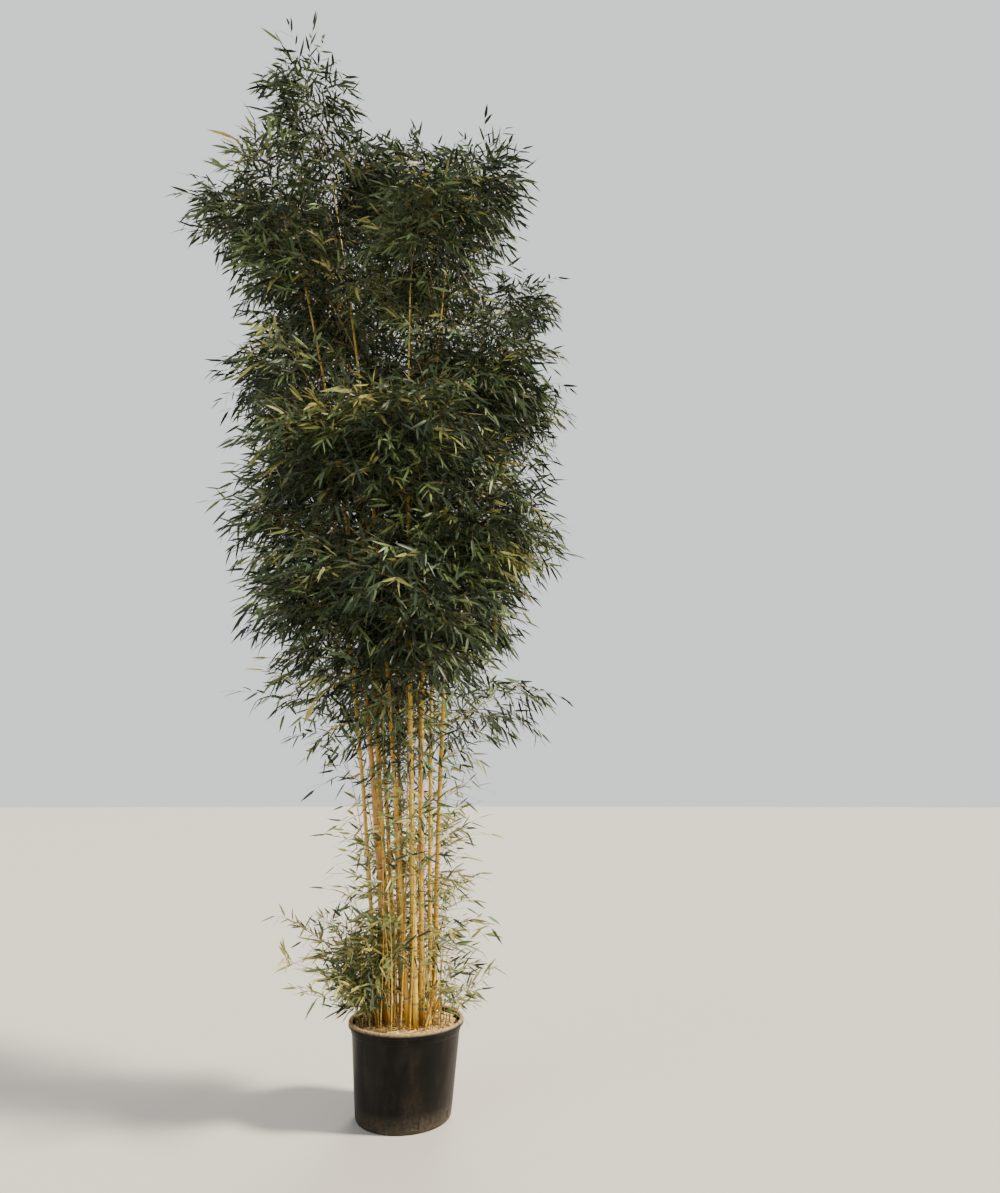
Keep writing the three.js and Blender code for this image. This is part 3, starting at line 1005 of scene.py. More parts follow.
@dataclass
class Foliage:
    """Twigs and leaves that grow on from stems, gathered until they are joined into pieces.

    A spray of leaves takes one tint, dealt by how lit its place is: 0 for the middle of the crown, 1 for
    its outside and 2 for young shoots. The darker tints in the middle are painted shade, the lighter ones
    outside painted light.
    """

    seed: int
    leaf_length: float = 0.122
    leaf_width: float = 0.0165
    roll: float = 0.7
    spray_length: float = 0.27
    stem_taper: float = 0.35
    twig_angle: float = math.radians(52)
    twig_thickness: float = 0.4
    twig_tip: float = 1.2 * MM
    twiglet_radii: tuple[float, float] = (1.3 * MM, 0.8 * MM)
    overreach: float = 0.022
    patch_size: float = 0.6
    patch_light: float = 1.4
    tints: tuple[LeafTint, ...] = tuple(LeafTint)
    # One row of tint shares for each light of 0, 1 and 2: the dark tints inside the crown are painted shade,
    # the light ones on its outside painted light, and the yellow-green of young shoots partly painted
    # sunlight.
    shares: tuple[tuple[float, ...], ...] = (
        (0.42, 0.32, 0.2, 0.055, 0.0, 0.0, 0.005),
        (0.12, 0.25, 0.34, 0.22, 0.055, 0.005, 0.01),
        (0.03, 0.06, 0.13, 0.23, 0.27, 0.24, 0.04),
    )
    twigs: JoinedPieces = field(default_factory=JoinedPieces)
    batches: list[LeafBatch] = field(default_factory=list)

    def __post_init__(self) -> None:
        """Starts the seeded numbers."""
        self.random = np.random.default_rng(self.seed)

    def limb(self, curve: Bow, rings: int, thick: float, thin: float, sides: int) -> None:
        """Adds one limb along a curve, which tapers from a thick radius to a thin one."""
        path = curve.point(np.linspace(0, 1, rings))
        Rods(sides).add_to(self.twigs, path[None], np.linspace(thick, thin, rings)[None])

    def patch(self, place: np.ndarray) -> float:
        """Gives how much lighter the foliage is at a place, where a patch of new growth is."""
        return self.patch_light * max(noise.noise(Vector(place) / self.patch_size) - 0.08, 0)

    def leaves(self, roots: np.ndarray, blades: np.ndarray, size: float, light: float) -> None:
        """Adds leaves of one tint.

        Args:
            roots: where each is joined to its twig.
            blades: their directions.
            size: their length, as a share of the usual one.
            light: how lit their place is, which deals painted shade or painted light as their tint.
        """
        count = len(roots)
        blades = unit(blades)
        over = squared(unit(UP + self.random.normal(0, self.roll, (count, 3))), blades)
        long = self.leaf_length * self.random.uniform(0.6, 1.12, count) * size
        wide = self.leaf_width * long / self.leaf_length * self.random.uniform(0.85, 1.12, count)
        shares = np.array([np.interp(light, (0, 1, 2), stage) for stage in zip(*self.shares)])
        tint = self.random.choice(len(self.tints), p=shares / shares.sum())
        curl = self.random.uniform(0.2, 2.2, count)
        self.batches.append(LeafBatch(roots, blades, over, long, wide, curl, np.full(count, tint)))

    def spray(self, root: np.ndarray, along: np.ndarray, size: float, growth: Growth, light: float) -> None:
        """Grows a spray: a thin twiglet with leaves to either side in turn, and one at its tip.

        Args:
            root: where it leaves its twig.
            along: its direction.
            size: its length and its leaves' length, as a share of the usual ones.
            growth: how its mass grows.
            light: how lit its place is, which deals painted shade or painted light as its tint.
        """
        leaves = growth.leaves
        length = self.spray_length * size * self.random.uniform(0.7, 1.1)
        twiglet = Bow(root, root + unit(along + UP * 0.35) * length / 2, root + along * length)
        self.limb(twiglet, 3, *self.twiglet_radii, sides=3)
        t = np.linspace(0.2, 1, leaves)
        heading = twiglet.tangent(t)
        side = unit(np.cross(UP + self.random.normal(0, 0.6 * self.roll, 3), heading))
        hand = np.where(np.arange(leaves) % 2 == 0, 1.0, -1.0) * (1 - t**6)
        swing = (np.radians(self.random.uniform(24, 64, leaves)) * hand)[:, None]
        blades = heading * np.cos(swing) + side * np.sin(swing) + self.random.normal(0, 0.14, (leaves, 3))
        blades[:, 2] -= self.random.uniform(growth.hang - 0.6, growth.hang, leaves)
        self.leaves(twiglet.point(t), blades, 0.6 + 0.4 * size, light + self.patch(root))

    def twig(
        self, start: np.ndarray, direction: np.ndarray, reach: float, thick: float, growth: Growth
    ) -> None:
        """Grows a twig and its fan of sprays.

        Args:
            start: where it leaves its stem.
            direction: its direction.
            reach: its length.
            thick: its radius at the start.
            growth: how its mass grows.
        """
        run = direction * reach
        curve = Bow(start, start + run / 2, start + run - UP * 0.1 * reach)
        self.limb(curve, 5, thick, self.twig_tip, sides=3)
        heading = unit(direction * [1, 1, 0])
        for index in range(growth.sprays):
            at = 1 - 0.78 * index / growth.sprays
            swing = math.radians(min(14 + 11 * index, 70) + self.random.uniform(-14, 14)) * (-1) ** index
            along = turned(heading, UP, swing if index else 0.2 * swing)
            along = unit(along + UP * self.random.uniform(-growth.fall, growth.lift))
            size = growth.size * self.random.uniform(0.75, 1.08)
            # Sprays nearer the twig's tip take lighter tints: painted light on the crown's outside.
            self.spray(curve.point(at), along, size, growth, at**2 + growth.youth_and_sunlight)

    def mass(self, number: int, stem: Bow, thick: float, growth: Growth) -> None:
        """Grows a mass: its stem, twigs that turn on by the golden angle, and sprays at its tip.

        Args:
            number: the mass's number in the source.
            stem: its stem's curve.
            thick: its stem's radius at the start.
            growth: how it grows.
        """
        self.limb(stem, 9, thick, self.stem_taper * thick, sides=5)
        for index in range(growth.twigs):
            at = 0.16 + 0.8 * (index + 0.5) / growth.twigs
            direction = leaving(stem.tangent(at), self.twig_angle, (index + number) * GOLDEN_ANGLE)
            reach = growth.length * self.random.uniform(0.2, 0.36) * (growth.gain - growth.loss * at)
            self.twig(stem.point(at), direction, reach, self.twig_thickness * thick, growth)
        # The sprays at the stem's tip take the tints of the crown's lit outside: painted light.
        for swing in (-50, -20, 10, 40):
            along = turned(unit(stem.tangent(1) * [1, 1, 0.01]), UP, math.radians(swing))
            along = unit(along + UP * self.random.uniform(-0.3, 0.7))
            self.spray(stem.point(0.98), along, growth.size, growth, 1)

    def leaves_within_reach(self) -> LeafBatch:
        """Leaves out the few leaves whose tips pass the CAD model's box by too large a share of it.

        Returns:
            The other leaves.
        """
        low, high = (np.array(list(corner)) for corner in CAD_BOX)
        spare = self.overreach * (high - low)
        leaves = LeafBatch.joined(self.batches)
        tips = leaves.tips()
        return leaves.picked(np.all((tips > low - spare) & (tips < high + spare), axis=1))

    def pieces(self, name: str, nodes: list[str]) -> None:
        """Joins the leaves and the twigs, each kind apart, into two pieces.

        Args:
            name: what they are named after.
            nodes: the CAD nodes that they stand for.
        """
        leaves = JoinedPieces()
        LeafBlade().add_to(leaves, self.leaves_within_reach())
        finishes = [BambooLeaf(f"bamboo_leaf_{tint.name.lower()}", tint) for tint in self.tints]
        put_in_scene(leaves.mesh(f"leaves_{name}"), finishes, nodes)
        put_in_scene(self.twigs.mesh(f"twigs_{name}"), [GreenTwig()], nodes)


@dataclass(frozen=True)
class Crown:
    """The masses of foliage on the canes, in pieces of a few canes each."""

    canes: list[Cane]
    canes_per_piece: int = 3
    side_thickness: float = 0.4
    plume_thickness: float = 0.75
    plume_overlap: float = 0.012
    plume_control: float = 0.45

    def side_stem(self, cane: Cane, number: int, growth: Growth) -> tuple[Bow, float]:
        """Gives the stem of a spray on a cane's side.

        Args:
            cane: the cane.
            number: the mass's number in the source.
            growth: how it grows.

        Returns:
            The stem's curve and its radius at the start.
        """
        at = growth.lowest + (growth.highest - growth.lowest) * ((number * GOLDEN_SHARE) % 1)
        out = level(cane.azimuth + between(-0.9, 0.9, number, 8)) * growth.length * growth.reach
        rise = UP * growth.length * growth.rise
        return Bow.rising(cane.point(at), out, rise), cane.radius_at(at) * self.side_thickness

    def plume_stem(self, cane: Cane) -> tuple[Bow, float]:
        """Gives the stem that carries a cane on past its tip.

        Args:
            cane: the cane.

        Returns:
            The stem's curve and its radius at the start.
        """
        along = cane.tangent(1)
        start = cane.point(1) - along * self.plume_overlap
        control = start + along * PLUME.length * self.plume_control
        run = level(cane.plume_azimuth) * PLUME.length * PLUME.reach + UP * PLUME.length * PLUME.rise
        return Bow(start, control, control + run), cane.radius_at(1) * self.plume_thickness

    def build(self) -> None:
        """Grows every mass and joins them by groups of canes."""
        for first in range(0, len(self.canes), self.canes_per_piece):
            group = self.canes[first : first + self.canes_per_piece]
            foliage = Foliage(SEED + first)
            for cane in group:
                for growth in (LOW_SPRAY, HIGH_SPRAY):
                    number = growth.numbers_from + cane.number
                    foliage.mass(number, *self.side_stem(cane, number, growth), growth)
                foliage.mass(cane.number, *self.plume_stem(cane), PLUME)
            kinds = ("low_spray", "high_spray", "plume")
            nodes = [f"{cane.name}_{kind}" for cane in group for kind in kinds]
            foliage.pieces(f"canes_{first + 1:02d}_to_{first + len(group):02d}", nodes)


@dataclass(frozen=True)
class JointTwigs:
    """What leaves the canes' joints between the masses: slender twigs, few low down, and small branches."""

    canes: list[Cane]
    canes_per_piece: int = 5
    first_joint: int = 3
    sparse_up_to: float = 0.15
    full_from: float = 0.34
    branches_up_to: float = 0.86
    branch_chance: float = 0.42
    waist: tuple[float, float] = (0.47, 0.65)
    waist_chance: float = 0.9
    least_fullness: float = 0.45
    twig_radius: float = 1.6 * MM
    branch_radius: float = 3.4 * MM
    branch: Growth = Growth(length=0.6, twigs=6, sprays=5, leaves=7, gain=1.2, loss=0.4)

    def grow_twig(self, foliage: Foliage, place: np.ndarray, fullness: float) -> None:
        """Grows a slender twig.

        Args:
            foliage: what it joins.
            place: where it leaves its cane.
            fullness: how leafy the cane is there, from 0 to 1.
        """
        random = foliage.random
        direction = unit(level(random.uniform(0, FULL_TURN)) + UP * random.uniform(0.4, 2.2))
        growth = Growth(
            length=0.3,
            sprays=1 + random.integers(0, 2) + round(4 * fullness),
            leaves=2 + random.integers(0, 3) + round(3 * fullness),
            size=0.75 + 0.2 * fullness,
            fall=0.2 + 0.6 * fullness,
            lift=0.8 - 0.4 * fullness,
            youth_and_sunlight=1.4 * (1 - fullness),
        )
        reach = random.uniform(0.1, 0.34) + 0.1 * fullness
        foliage.twig(place, direction, reach, self.twig_radius, growth)

    def grow_branch(self, foliage: Foliage, cane: Cane, place: np.ndarray, fullness: float) -> None:
        """Grows a small branch, which is a mass of its own and thinner where the cane is less leafy.

        Args:
            foliage: what it joins.
            cane: its cane.
            place: where it leaves its cane.
            fullness: how leafy the cane is there, from 0 to 1.
        """
        random = foliage.random
        out = level(cane.azimuth + random.uniform(-1.7, 1.7)) * random.uniform(0.3, 0.55)
        stem = Bow.rising(place, out * (0.5 + 0.5 * fullness), UP * random.uniform(0.2, 0.4))
        thinner = replace(self.branch, twigs=round(self.branch.twigs * fullness), youth_and_sunlight=0.9 * (1 - fullness))
        foliage.mass(random.integers(0, 100), stem, self.branch_radius, thinner)

    def grow(self, foliage: Foliage, cane: Cane) -> None:
        """Grows what leaves one cane's joints.

        Args:
            foliage: what it joins.
            cane: the cane.
        """
        random = foliage.random
        for at in map(cane.joint_at, range(self.first_joint, cane.joints)):
            place = cane.point(at)
            fullness = float(np.interp(at, (self.sparse_up_to, self.full_from), (0, 1)))
            for _ in range(random.binomial(3, 0.3 + 0.4 * fullness)):
                self.grow_twig(foliage, place, fullness)
            likely = self.waist_chance if self.waist[0] < at < self.waist[1] else self.branch_chance
            if self.least_fullness < fullness and at < self.branches_up_to and random.random() < likely:
                self.grow_branch(foliage, cane, place, fullness)

    def build(self) -> None:
        """Grows the twigs and branches of all joints, and joins them by groups of canes."""
        for first in range(0, len(self.canes), self.canes_per_piece):
            foliage = Foliage(SEED + 500 + first, roll=0.9)
            for cane in self.canes[first : first + self.canes_per_piece]:
                self.grow(foliage, cane)
            foliage.pieces(f"joints_{first // self.canes_per_piece + 1}", [])


@dataclass(frozen=True)
class Shoot(Jointed):
    """One thin jointed shoot along a curve."""

    stem: Bow
    thick: float
    thin: float
    joint_gap: float = 0.1
    is_cut: bool = False
    sides: int = 8
    ridge: tuple[tuple[float, float], ...] = ((-8, 1.0), (-1, 1.2), (1, 1.2), (4, 1.0))

    def point(self, t: float) -> np.ndarray:
        """Gives the point at a share of the shoot."""
        return self.stem.point(t)

    def tangent(self, t: float) -> np.ndarray:
        """Gives the direction at a share of the shoot."""
        return self.stem.tangent(t)

    def radius_at(self, t: float) -> float:
        """Gives the radius at a share of the shoot, leaving out its joints."""
        return self.thick + (self.thin - self.thick) * t

    def rings(self) -> Iterator[Ring]:
        """Gives the surface's rings: a ridge at each joint and, where it was cut off, a hollow end.

        Returns:
            The rings, from the foot to the tip.
        """
        length = float(np.linalg.norm(self.stem.end - self.stem.start))
        yield self.ring(0)
        for height in np.arange(0.4 * self.joint_gap, length - 0.02, self.joint_gap):
            yield from self.joint_rings(height / length, length)
        yield self.ring(1)
        if self.is_cut:
            yield self.ring(1, 0.65)
            yield self.ring(1 - 0.012 / length, 0.6)


@dataclass
class Undergrowth:
    """The young shoots that stand between the canes: leafy ones of all heights, and stubs of cut ones."""

    canes: list[Cane]
    leafy: int = 34
    ring: float = 0.215
    shortest: float = 0.3
    tallest: float = 2.3
    stubs: int = 10
    stub_azimuth: float = math.radians(-50)
    stub_ring: float = 0.16
    stub_spread: float = 0.08
    stub_heights: tuple[float, float] = (0.1, 0.3)
    stub_radii: tuple[float, float] = (0.0045, 0.008)
    twig_radius: float = 1.1 * MM
    foot_height: float = 0.428
    clearance: float = 0.028

    def __post_init__(self) -> None:
        """Starts the seeded numbers, the foliage, and the list of places that are taken."""
        self.random = np.random.default_rng(SEED + 70)
        self.foliage = Foliage(SEED + 71, roll=1.1)
        self.feet = [cane.foot for cane in self.canes]

    def clear_foot(self, middle: np.ndarray, spread: float) -> np.ndarray:
        """Finds a place for a shoot that is clear of all others, and takes it.

        Args:
            middle: the middle of the places to choose from.
            spread: how far from there it may be.

        Returns:
            The place.
        """
        while True:
            way, far = self.random.uniform(0, FULL_TURN), spread * math.sqrt(self.random.random())
            foot = middle + level(way) * far + UP * self.foot_height
            if min(math.hypot(*(foot - other)[:2]) for other in self.feet) > self.clearance:
                self.feet.append(foot)
                return foot

    def stub(self) -> Shoot:
        """Gives a shoot that was cut off short.

        Returns:
            The shoot.
        """
        foot = self.clear_foot(level(self.stub_azimuth) * self.stub_ring, self.stub_spread)
        top = foot + unit(UP + self.random.normal(0, 0.12, 3)) * self.random.uniform(*self.stub_heights)
        thick = self.random.uniform(*self.stub_radii)
        return Shoot(Bow(foot, (foot + top) / 2, top), thick, 0.9 * thick, joint_gap=0.06, is_cut=True)

    def leafy_shoot(self) -> Shoot:
        """Gives a thin leafy shoot, and grows its twigs and leaves.

        Returns:
            The shoot.
        """
        random = self.random
        foot = self.clear_foot(np.zeros(3), self.ring)
        tall = self.shortest + (self.tallest - self.shortest) * random.random() ** 1.4
        aside = level(random.uniform(0, FULL_TURN)) * random.uniform(0.02, 0.13) * tall
        outward = foot * [1, 1, 0] * random.uniform(0.1, 0.9) + aside
        lean = level(Clump().lean_azimuth) * 0.07 * tall
        stem = Bow(foot, foot + UP * 0.6 * tall + outward * 0.2, foot + UP * tall + outward + lean)
        for index in range(round(5 + 4 * tall)):
            at = random.uniform(0.22, 1)
            direction = unit(level(index * GOLDEN_ANGLE) + UP * random.uniform(0.4, 2.0))
            counts = {"sprays": random.integers(1, 4), "leaves": random.integers(2, 6)}
            growth = Growth(length=0.2, size=0.68, fall=0.3, lift=0.7, hang=0.35, youth_and_sunlight=1.5, **counts)
            reach = random.uniform(0.04, 0.2)
            self.foliage.twig(stem.point(at), direction, reach, self.twig_radius, growth)
        return Shoot(stem, (2.4 + 1.1 * tall) * MM, 1.2 * MM)

    def build(self) -> None:
        """Builds the stems of all shoots as one piece, and their foliage as two."""
        shoots = [self.stub() for _ in range(self.stubs)] + [self.leafy_shoot() for _ in range(self.leafy)]
        joined = bmesh.new()
        for shoot in shoots:
            mesh = mesh_from(shoot.shape(), "shoot")
            joined.from_mesh(mesh)
            bpy.data.meshes.remove(mesh)
        put_in_scene(mesh_from(joined, "young_shoots"), [WaxyCane()], [])
        self.foliage.pieces("young_shoots", [])


@dataclass
class Tuft:
    """A tuft of short leafy shoots that stands on the litter and leans out over the rim.

    Its azimuth, and the turn from one straggler to the next, are in degrees.
    """

    name: str
    azimuth: float
    ring: float
    reach: float
    length: float
    shoots: int
    leaves: int
    side_sprays: int
    stragglers: int = 0
    spread: float = 0.07
    stem_radii: tuple[float, float] = (2.4 * MM, 1.0 * MM)
    straggler_turn: float = 24
    straggler_radii: tuple[float, float] = (2.2 * MM, 1.0 * MM)

    def __post_init__(self) -> None:
        """Starts the foliage."""
        self.foliage = Foliage(SEED + 900 + self.shoots, leaf_length=0.112, leaf_width=0.0158, roll=1.2)

    def shoot(self, number: int) -> None:
        """Grows one shoot: a thin stem with leaves all round it, and a few sprays.

        Args:
            number: which shoot it is.
        """
        foliage, random = self.foliage, self.foliage.random
        out = level(math.radians(self.azimuth))
        aside = level(math.radians(self.azimuth) + number * GOLDEN_ANGLE)
        spread = self.spread * math.sqrt((number + 0.5) / self.shoots)
        start = out * self.ring + aside * spread + UP * FOOT_LEVEL
        tall = self.length * random.uniform(0.35, 1.08)
        lean = out * self.reach * random.uniform(0.1, 1.4) + aside * random.uniform(0.02, 0.2)
        stem = Bow(start, start + UP * tall * 0.6, start + lean + UP * tall)
        foliage.limb(stem, 7, *self.stem_radii, sides=5)
        for index in range(self.leaves):
            at = 0.15 + 0.85 * (index + 0.5) / self.leaves
            blade = leaving(stem.tangent(at), math.radians(random.uniform(25, 95)), index * GOLDEN_ANGLE)
            foliage.leaves(stem.point(at)[None], blade[None], random.uniform(0.55, 1.1), 2)
        for _ in range(self.side_sprays):
            at = random.uniform(0.25, 1)
            along = level(random.uniform(0, FULL_TURN)) + out * 0.5 + UP * random.uniform(-0.3, 0.9)
            foliage.spray(stem.point(at), unit(along), 0.5, Growth(length=0.2, leaves=5, hang=0.3), 2)

    def straggler(self, number: int) -> None:
        """Grows one long shoot that hangs out past the rim, with a few large leaves at its end.

        Args:
            number: which straggler it is.
        """
        foliage, random = self.foliage, self.foliage.random
        turn = self.straggler_turn * (number - (self.stragglers - 1) / 2)
        out = level(math.radians(self.azimuth + turn))
        start = out * self.ring + UP * FOOT_LEVEL
        end = start + out * self.reach * random.uniform(0.9, 1.25) + UP * random.uniform(0.2, 0.45)
        stem = Bow(start, start + out * 0.02 + UP * (end - start)[2], end)
        foliage.limb(stem, 7, *self.straggler_radii, sides=5)
        for at in (0.55, 0.8, 1.0):
            along = stem.tangent(at) + level(random.uniform(0, FULL_TURN)) * 0.5
            foliage.spray(stem.point(at), unit(along), 0.75, Growth(length=0.2, leaves=4, hang=0.45), 2)

    def build(self) -> None:
        """Grows the shoots into one pair of pieces."""
        for number in range(self.shoots):
            self.shoot(number)
        for number in range(self.stragglers):
            self.straggler(number)
        self.foliage.pieces(self.name, [self.name])


@dataclass(frozen=True)
class NurseryPot:
    """The round tapered pot, with its rolled rim, its stiffening band and the drain holes at its foot."""

    height: float = 0.45
    foot_radius: float = 0.246
    wall_radius: float = 0.29
    rim_radius: float = 0.305
    rim_depth: float = 0.026
    band: float = 0.03
    wall: float = 0.006
    floor: float = 0.008
    steps: int = 120
    drain_holes: int = 8
    hole_steps: tuple[int, ...] = (3, 4, 5)
    hole_heights: tuple[float, float] = (0.02, 0.055)
    hole_inset: float = 0.003
    hole_depth: float = 0.004
    sharp_angle: float = math.radians(38)
    rounding: float = 0.8 * MM

    def profile(self) -> list[tuple[float, float]]:
        """Gives the pot's section.

        Returns:
            Its radii and heights, from the middle of its underside to the middle of its floor.
        """
        foot, wall, rim, top = self.foot_radius, self.wall_radius, self.rim_radius, self.height
        under_rim = top - self.rim_depth
        shoulder = under_rim - self.band
        underside = [(0, 0), (foot - 0.010, 0), (foot - 0.003, 0.002), (foot, 0.008)]
        outside = [
            (foot + 0.0025, self.hole_heights[0]),
            (foot + 0.0065, self.hole_heights[1]),
            (wall - 0.0058, shoulder - 0.006),
            (wall - 0.005, shoulder),
            (wall - 0.001, shoulder + 0.003),
            (wall, shoulder + 0.007),
            (wall, under_rim - 0.002),
        ]
        rolled_rim = [
            (wall + 0.002, under_rim),
            (rim - 0.003, under_rim),
            (rim - 0.0006, under_rim + 0.001),
            (rim, under_rim + 0.004),
            (rim, top - 0.007),
            (rim - 0.002, top - 0.002),
            (rim - 0.006, top),
            (wall - 0.001, top - 0.0005),
        ]
        inner = wall - self.wall
        inside = [(inner + 0.001, top - 0.003), (inner, top - 0.008), (foot - self.wall - 0.006, self.floor)]
        return underside + outside + rolled_rim + inside + [(0, self.floor)]

    def hole_faces(self, shape: bmesh.types.BMesh) -> list[bmesh.types.BMFace]:
        """Finds the faces of the outer wall that the drain holes sink.

        Args:
            shape: the spun pot.

        Returns:
            The faces.
        """
        chosen = []
        low, high = self.hole_heights
        per_hole = self.steps // self.drain_holes
        for face in shape.faces:
            middle = face.calc_center_median()
            step = int((math.atan2(middle.y, middle.x) % FULL_TURN) / FULL_TURN * self.steps)
            is_outer = math.hypot(middle.x, middle.y) > self.foot_radius
            if is_outer and low < middle.z < high and step % per_hole in self.hole_steps:
                chosen.append(face)
        return chosen

    def build(self) -> None:
        """Spins the pot, sinks its drain holes and rounds its edges."""
        shape = spun(self.profile(), self.steps)
        holes = self.hole_faces(shape)
        sunk = {"thickness": self.hole_inset, "depth": -self.hole_depth, "use_even_offset": True}
        bmesh.ops.inset_region(shape, faces=holes, **sunk)
        edges = [edge for edge in shape.edges if edge.calc_face_angle(0) > self.sharp_angle]
        bevel = {"affect": "EDGES", "segments": 2, "profile": 0.5, "material": -1, "clamp_overlap": True}
        bmesh.ops.bevel(shape, geom=edges, offset=self.rounding, **bevel)
        finish = MouldedPolyethylene(rim_height=self.height)
        put_in_scene(mesh_from(shape, "nursery_pot"), [finish], ["pot"])


@dataclass
class BarkBed:
    """The litter in the pot: an uneven bed, with bark chips, shed leaves and straw lying on it.

    The widths of the chips and of the leaves are shares of their lengths.
    """

    edge_level: float = 0.418
    radius: float = 0.2795
    bottom: float = 0.36
    rings: int = 26
    sunk: float = 0.006
    bumps: float = 0.007
    bumps_per_metre: float = 22
    chips: int = 1900
    chip_lengths: tuple[float, float] = (0.010, 0.034)
    chip_widths: tuple[float, float] = (0.35, 0.8)
    chip_thicknesses: tuple[float, float] = (0.003, 0.008)
    leaves: int = 1300
    leaf_lengths: tuple[float, float] = (0.05, 0.105)
    leaf_width: float = 0.13
    straws: int = 520
    straw_half_lengths: tuple[float, float] = (0.012, 0.042)
    straw_radius: float = 1.1 * MM
    tones: tuple[ChipTone, ...] = tuple(ChipTone)
    chip_shares: tuple[float, ...] = (0.42, 0.3, 0.18, 0.05, 0.05)
    leaf_shares: tuple[float, ...] = (0.72, 0.17, 0.07, 0.01, 0.03)

    def __post_init__(self) -> None:
        """Starts the seeded numbers."""
        self.random = np.random.default_rng(SEED)

    def surface(self, x: float, y: float) -> float:
        """Gives the bed's height at a place, in metres."""
        crown = LITTER_LEVEL - (LITTER_LEVEL - self.edge_level) * (math.hypot(x, y) / self.radius) ** 3
        return crown - self.sunk + self.bumps * noise.noise(Vector((x, y, 0.3)) * self.bumps_per_metre)

    def places(self, count: int, reach: float, lift: tuple[float, float]) -> np.ndarray:
        """Scatters places evenly over the bed.

        Args:
            count: how many.
            reach: how far out they lie, in metres.
            lift: how far over the bed they lie at least and at most, in metres.

        Returns:
            The places.
        """
        far, way = reach * np.sqrt(self.random.random(count)), self.random.uniform(0, FULL_TURN, count)
        x, y = far * np.cos(way), far * np.sin(way)
        heights = [self.surface(*pair) for pair in zip(x, y)]
        return np.stack([x, y, heights + self.random.uniform(*lift, count)], axis=1)

    def bed(self) -> None:
        """Spins the bed and makes its top uneven."""
        top = [(self.radius * step / self.rings, LITTER_LEVEL) for step in range(self.rings + 1)]
        shape = spun(top + [(self.radius - 0.012, self.bottom), (0, self.bottom)], 96)
        for corner in shape.verts:
            if corner.co.z > self.bottom + 0.01:
                corner.co.z = self.surface(corner.co.x, corner.co.y)
        finish = LooseLitter("litter_orange", ChipTone.ORANGE)
        put_in_scene(mesh_from(shape, "bark_bed"), [finish], ["litter"])

    def chip(self) -> tuple[np.ndarray, np.ndarray]:
        """Shapes one chip of bark, one metre across.

        Returns:
            Its corners and its triangles.
        """
        shape = bmesh.new()
        bmesh.ops.create_cube(shape, size=1)
        rounding = {"affect": "EDGES", "segments": 1, "profile": 0.5, "material": -1}
        bmesh.ops.bevel(shape, geom=shape.edges[:], offset=0.14, **rounding)
        for corner in shape.verts:
            corner.co *= 1 + 0.3 * noise.noise(corner.co * 3)
        return arrays_from(shape)

    def scatter_chips(self) -> None:
        """Lays the chips on the bed."""
        random, count = self.random, self.chips
        place = self.places(count, self.radius - 0.018, (0, 0.008))
        long = random.uniform(*self.chip_lengths, count)
        wide = long * random.uniform(*self.chip_widths, count)
        sizes = np.stack([long, wide, random.uniform(*self.chip_thicknesses, count)], axis=1)
        over = unit(UP + random.normal(0, 0.3, (count, 3)))
        along = unit(np.cross(over, random.normal(0, 1, (count, 3))))
        axes = np.stack([along, np.cross(over, along), over], axis=1)
        corners, faces = self.chip()
        pieces = JoinedPieces()
        tones = random.choice(len(self.tones), count, p=self.chip_shares)
        pieces.add(place[:, None] + np.einsum("kc,nc,nca->nka", corners, sizes, axes), faces, tones)
        self.lay(pieces, "bark_chips")

    def scatter_leaves(self) -> None:
        """Lays the shed leaves on the chips."""
        random, count = self.random, self.leaves
        along = unit(random.normal(0, 1, (count, 3)) * [1, 1, 0.16])
        over = squared(unit(UP + random.normal(0, 0.25, (count, 3))), along)
        long = random.uniform(*self.leaf_lengths, count)
        root = self.places(count, self.radius - 0.03, (0.004, 0.012)) - along * long[:, None] / 2
        tones = random.choice(len(self.tones), count, p=self.leaf_shares)
        curl = random.uniform(-1.5, 1.5, count)
        batch = LeafBatch(root, along, over, long, long * self.leaf_width, curl, tones)
        far = np.maximum(*(np.linalg.norm(end[:, :2], axis=1) for end in (root, batch.tips())))
        pieces = JoinedPieces()
        LeafBlade().add_to(pieces, batch.picked(far < self.radius - 0.008))
        self.lay(pieces, "shed_leaves")

    def scatter_straw(self) -> None:
        """Lays broken straw on the chips."""
        random, count = self.random, self.straws
        middle = self.places(count, self.radius - 0.05, (0.004, 0.012))
        along = unit(random.normal(0, 1, (count, 3)) * [1, 1, 0.12])
        half = random.uniform(*self.straw_half_lengths, count)[:, None, None]
        paths = middle[:, None] + along[:, None] * half * np.array([-1.0, 0.0, 1.0])[None, :, None]
        pieces = JoinedPieces()
        Rods(4).add_to(pieces, paths, np.full((count, 3), self.straw_radius))
        self.lay(pieces, "broken_straw")

    def lay(self, pieces: JoinedPieces, name: str) -> None:
        """Gives a scatter its tones and lays it on the bed, as one piece."""
        finishes = [LooseLitter(f"litter_{tone.name.lower()}", tone) for tone in self.tones]
        put_in_scene(pieces.mesh(name), finishes, ["litter"])

    def build(self) -> None:
        """Builds the bed and all that lies on it."""
        self.bed()
        self.scatter_chips()
        self.scatter_leaves()
        self.scatter_straw()


@dataclass(frozen=True)
class SoftLight:
    """A large far light, which lights all of the floor alike. Its angles and its softness are in degrees."""

    name: str
    azimuth: float
    elevation: float
    strength: float
    softness: float
    colour: str

    def build(self) -> None:
        """Hangs the light."""
        data = bpy.data.lights.new(self.name, "SUN")
        data.energy, data.angle = self.strength, math.radians(self.softness)
        data.color = linear(self.colour)[:3]
        elevation = math.radians(self.elevation)
        coming = level(math.radians(self.azimuth)) * math.cos(elevation) + UP * math.sin(elevation)
        light = placed(self.name, data)
        light.rotation_euler = Vector(coming).to_track_quat("Z", "Y").to_euler()


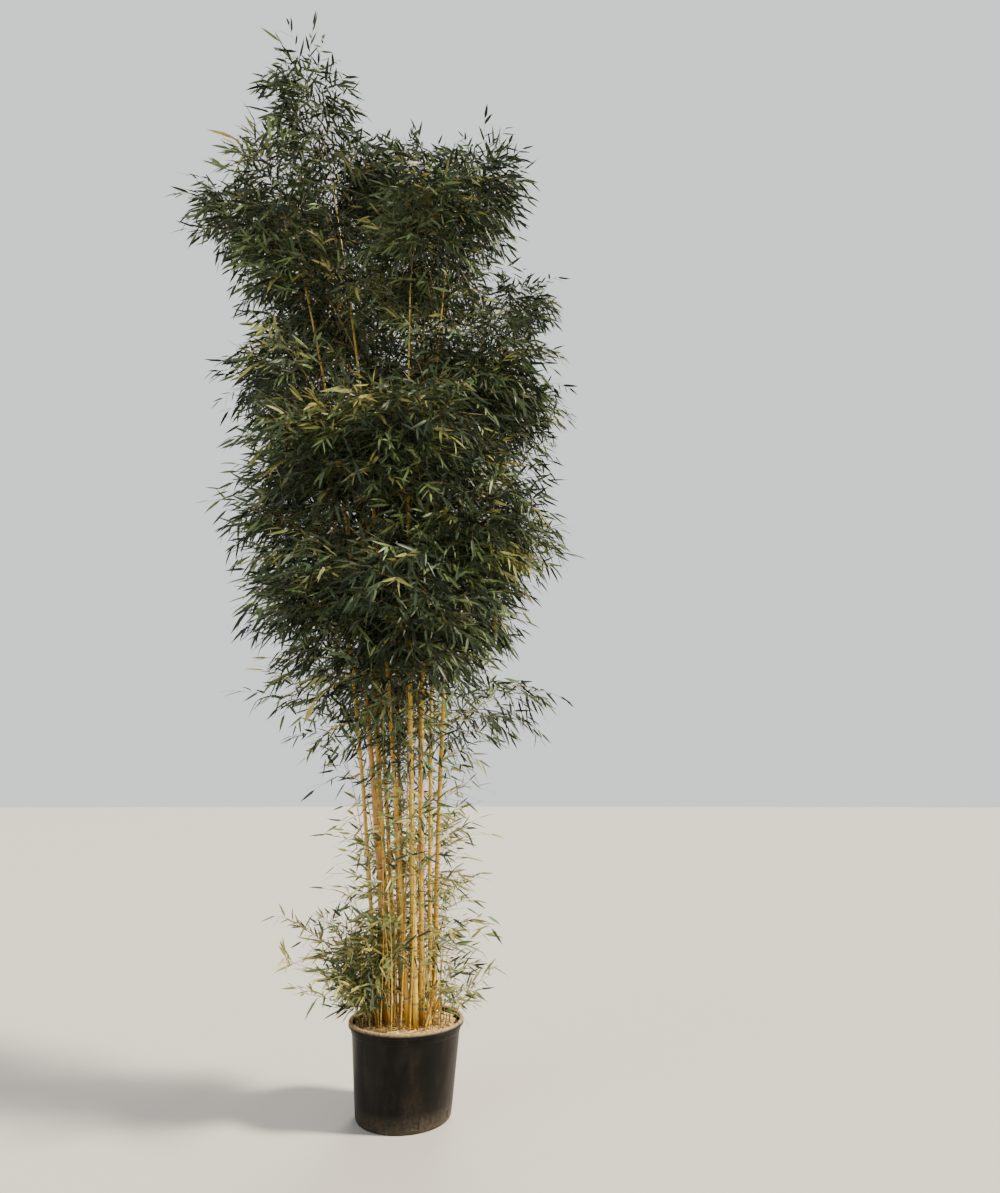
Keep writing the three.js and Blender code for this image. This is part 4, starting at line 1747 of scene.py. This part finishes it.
@dataclass(frozen=True)
class Studio:
    """The floor, the lights and the camera, which stands where the photo's did. Its angles are in degrees."""

    camera_place: tuple[float, float, float] = (0.0, -4.28, 1.55)
    tilt: float = 16.3
    turn: float = -6.7
    focal_pixels: float = 705.0
    picture_height: float = 1193.0
    sensor: float = 36.0
    floor_radius: float = 300.0
    lights: tuple[SoftLight, ...] = (
        SoftLight("key", -16, 36, 7.4, 9, "#fff1da"),
        SoftLight("fill", 215, 35, 0.4, 40, "#eef4ff"),
        SoftLight("back", 80, 38, 1.5, 25, "#fff6e6"),
    )

    def floor(self) -> None:
        """Lays the floor."""
        shape = bmesh.new()
        bmesh.ops.create_circle(shape, segments=96, radius=self.floor_radius, cap_ends=True)
        floor = placed("floor", mesh_from(shape, "floor", smooth=False))
        floor.data.materials.append(PaintedFloor().material())
        floor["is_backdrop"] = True

    def sky(self) -> None:
        """Lights the room softly from all sides, in front of a pale wall."""
        world = bpy.data.worlds.new("studio")
        world.use_nodes = True
        tree = world.node_tree
        lit = tree.nodes["Background"]
        feed(tree, lit, {"Color": "#e9ecef", "Strength": 0.5})
        wall = add_node(tree, "Background", inputs={"Color": "#f0f2f4", "Strength": 1.2})
        is_seen = add_node(tree, "LightPath").outputs["Is Camera Ray"]
        room = add_node(tree, "MixShader", inputs={0: is_seen, 1: lit, 2: wall})
        feed(tree, tree.nodes["World Output"], {"Surface": room})
        bpy.context.scene.world = world

    def camera(self) -> None:
        """Stands the camera where the photo was taken from, with a little more in view than it had."""
        data = bpy.data.cameras.new("camera")
        data.sensor_width = self.sensor
        data.lens = self.focal_pixels / self.picture_height * self.sensor
        camera = placed("camera", data)
        camera.location = self.camera_place
        camera.rotation_euler = (math.radians(90 + self.tilt), 0, math.radians(self.turn))
        bpy.context.scene.camera = camera

    def build(self) -> None:
        """Builds the studio."""
        self.floor()
        self.sky()
        for light in self.lights:
            light.build()
        self.camera()


def write_sizes() -> None:
    """Measures the visual model's box beside the CAD model's box; neither is written or kept."""
    boxes = {"cad": CAD_BOX, "visual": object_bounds()}
    {name: [list(corner) for corner in box] for name, box in boxes.items()}


def main() -> None:
    """Builds the studio and the plant, from the pot up."""
    logging.basicConfig(level=logging.INFO, format="%(name)s: %(message)s")
    Studio().build()
    NurseryPot().build()
    BarkBed().build()
    canes = [Cane(number) for number in range(Clump().count)]
    for cane in canes:
        cane.build()
    Crown(canes).build()
    JointTwigs(canes).build()
    Undergrowth(canes).build()
    Tuft("tuft_left", 196, 0.2, 0.21, 0.52, shoots=36, leaves=13, side_sprays=6, stragglers=5).build()
    Tuft("tuft_right", -24, 0.206, 0.06, 0.34, shoots=9, leaves=8, side_sprays=3).build()
    write_sizes()


if __name__ == "__main__":
    main()
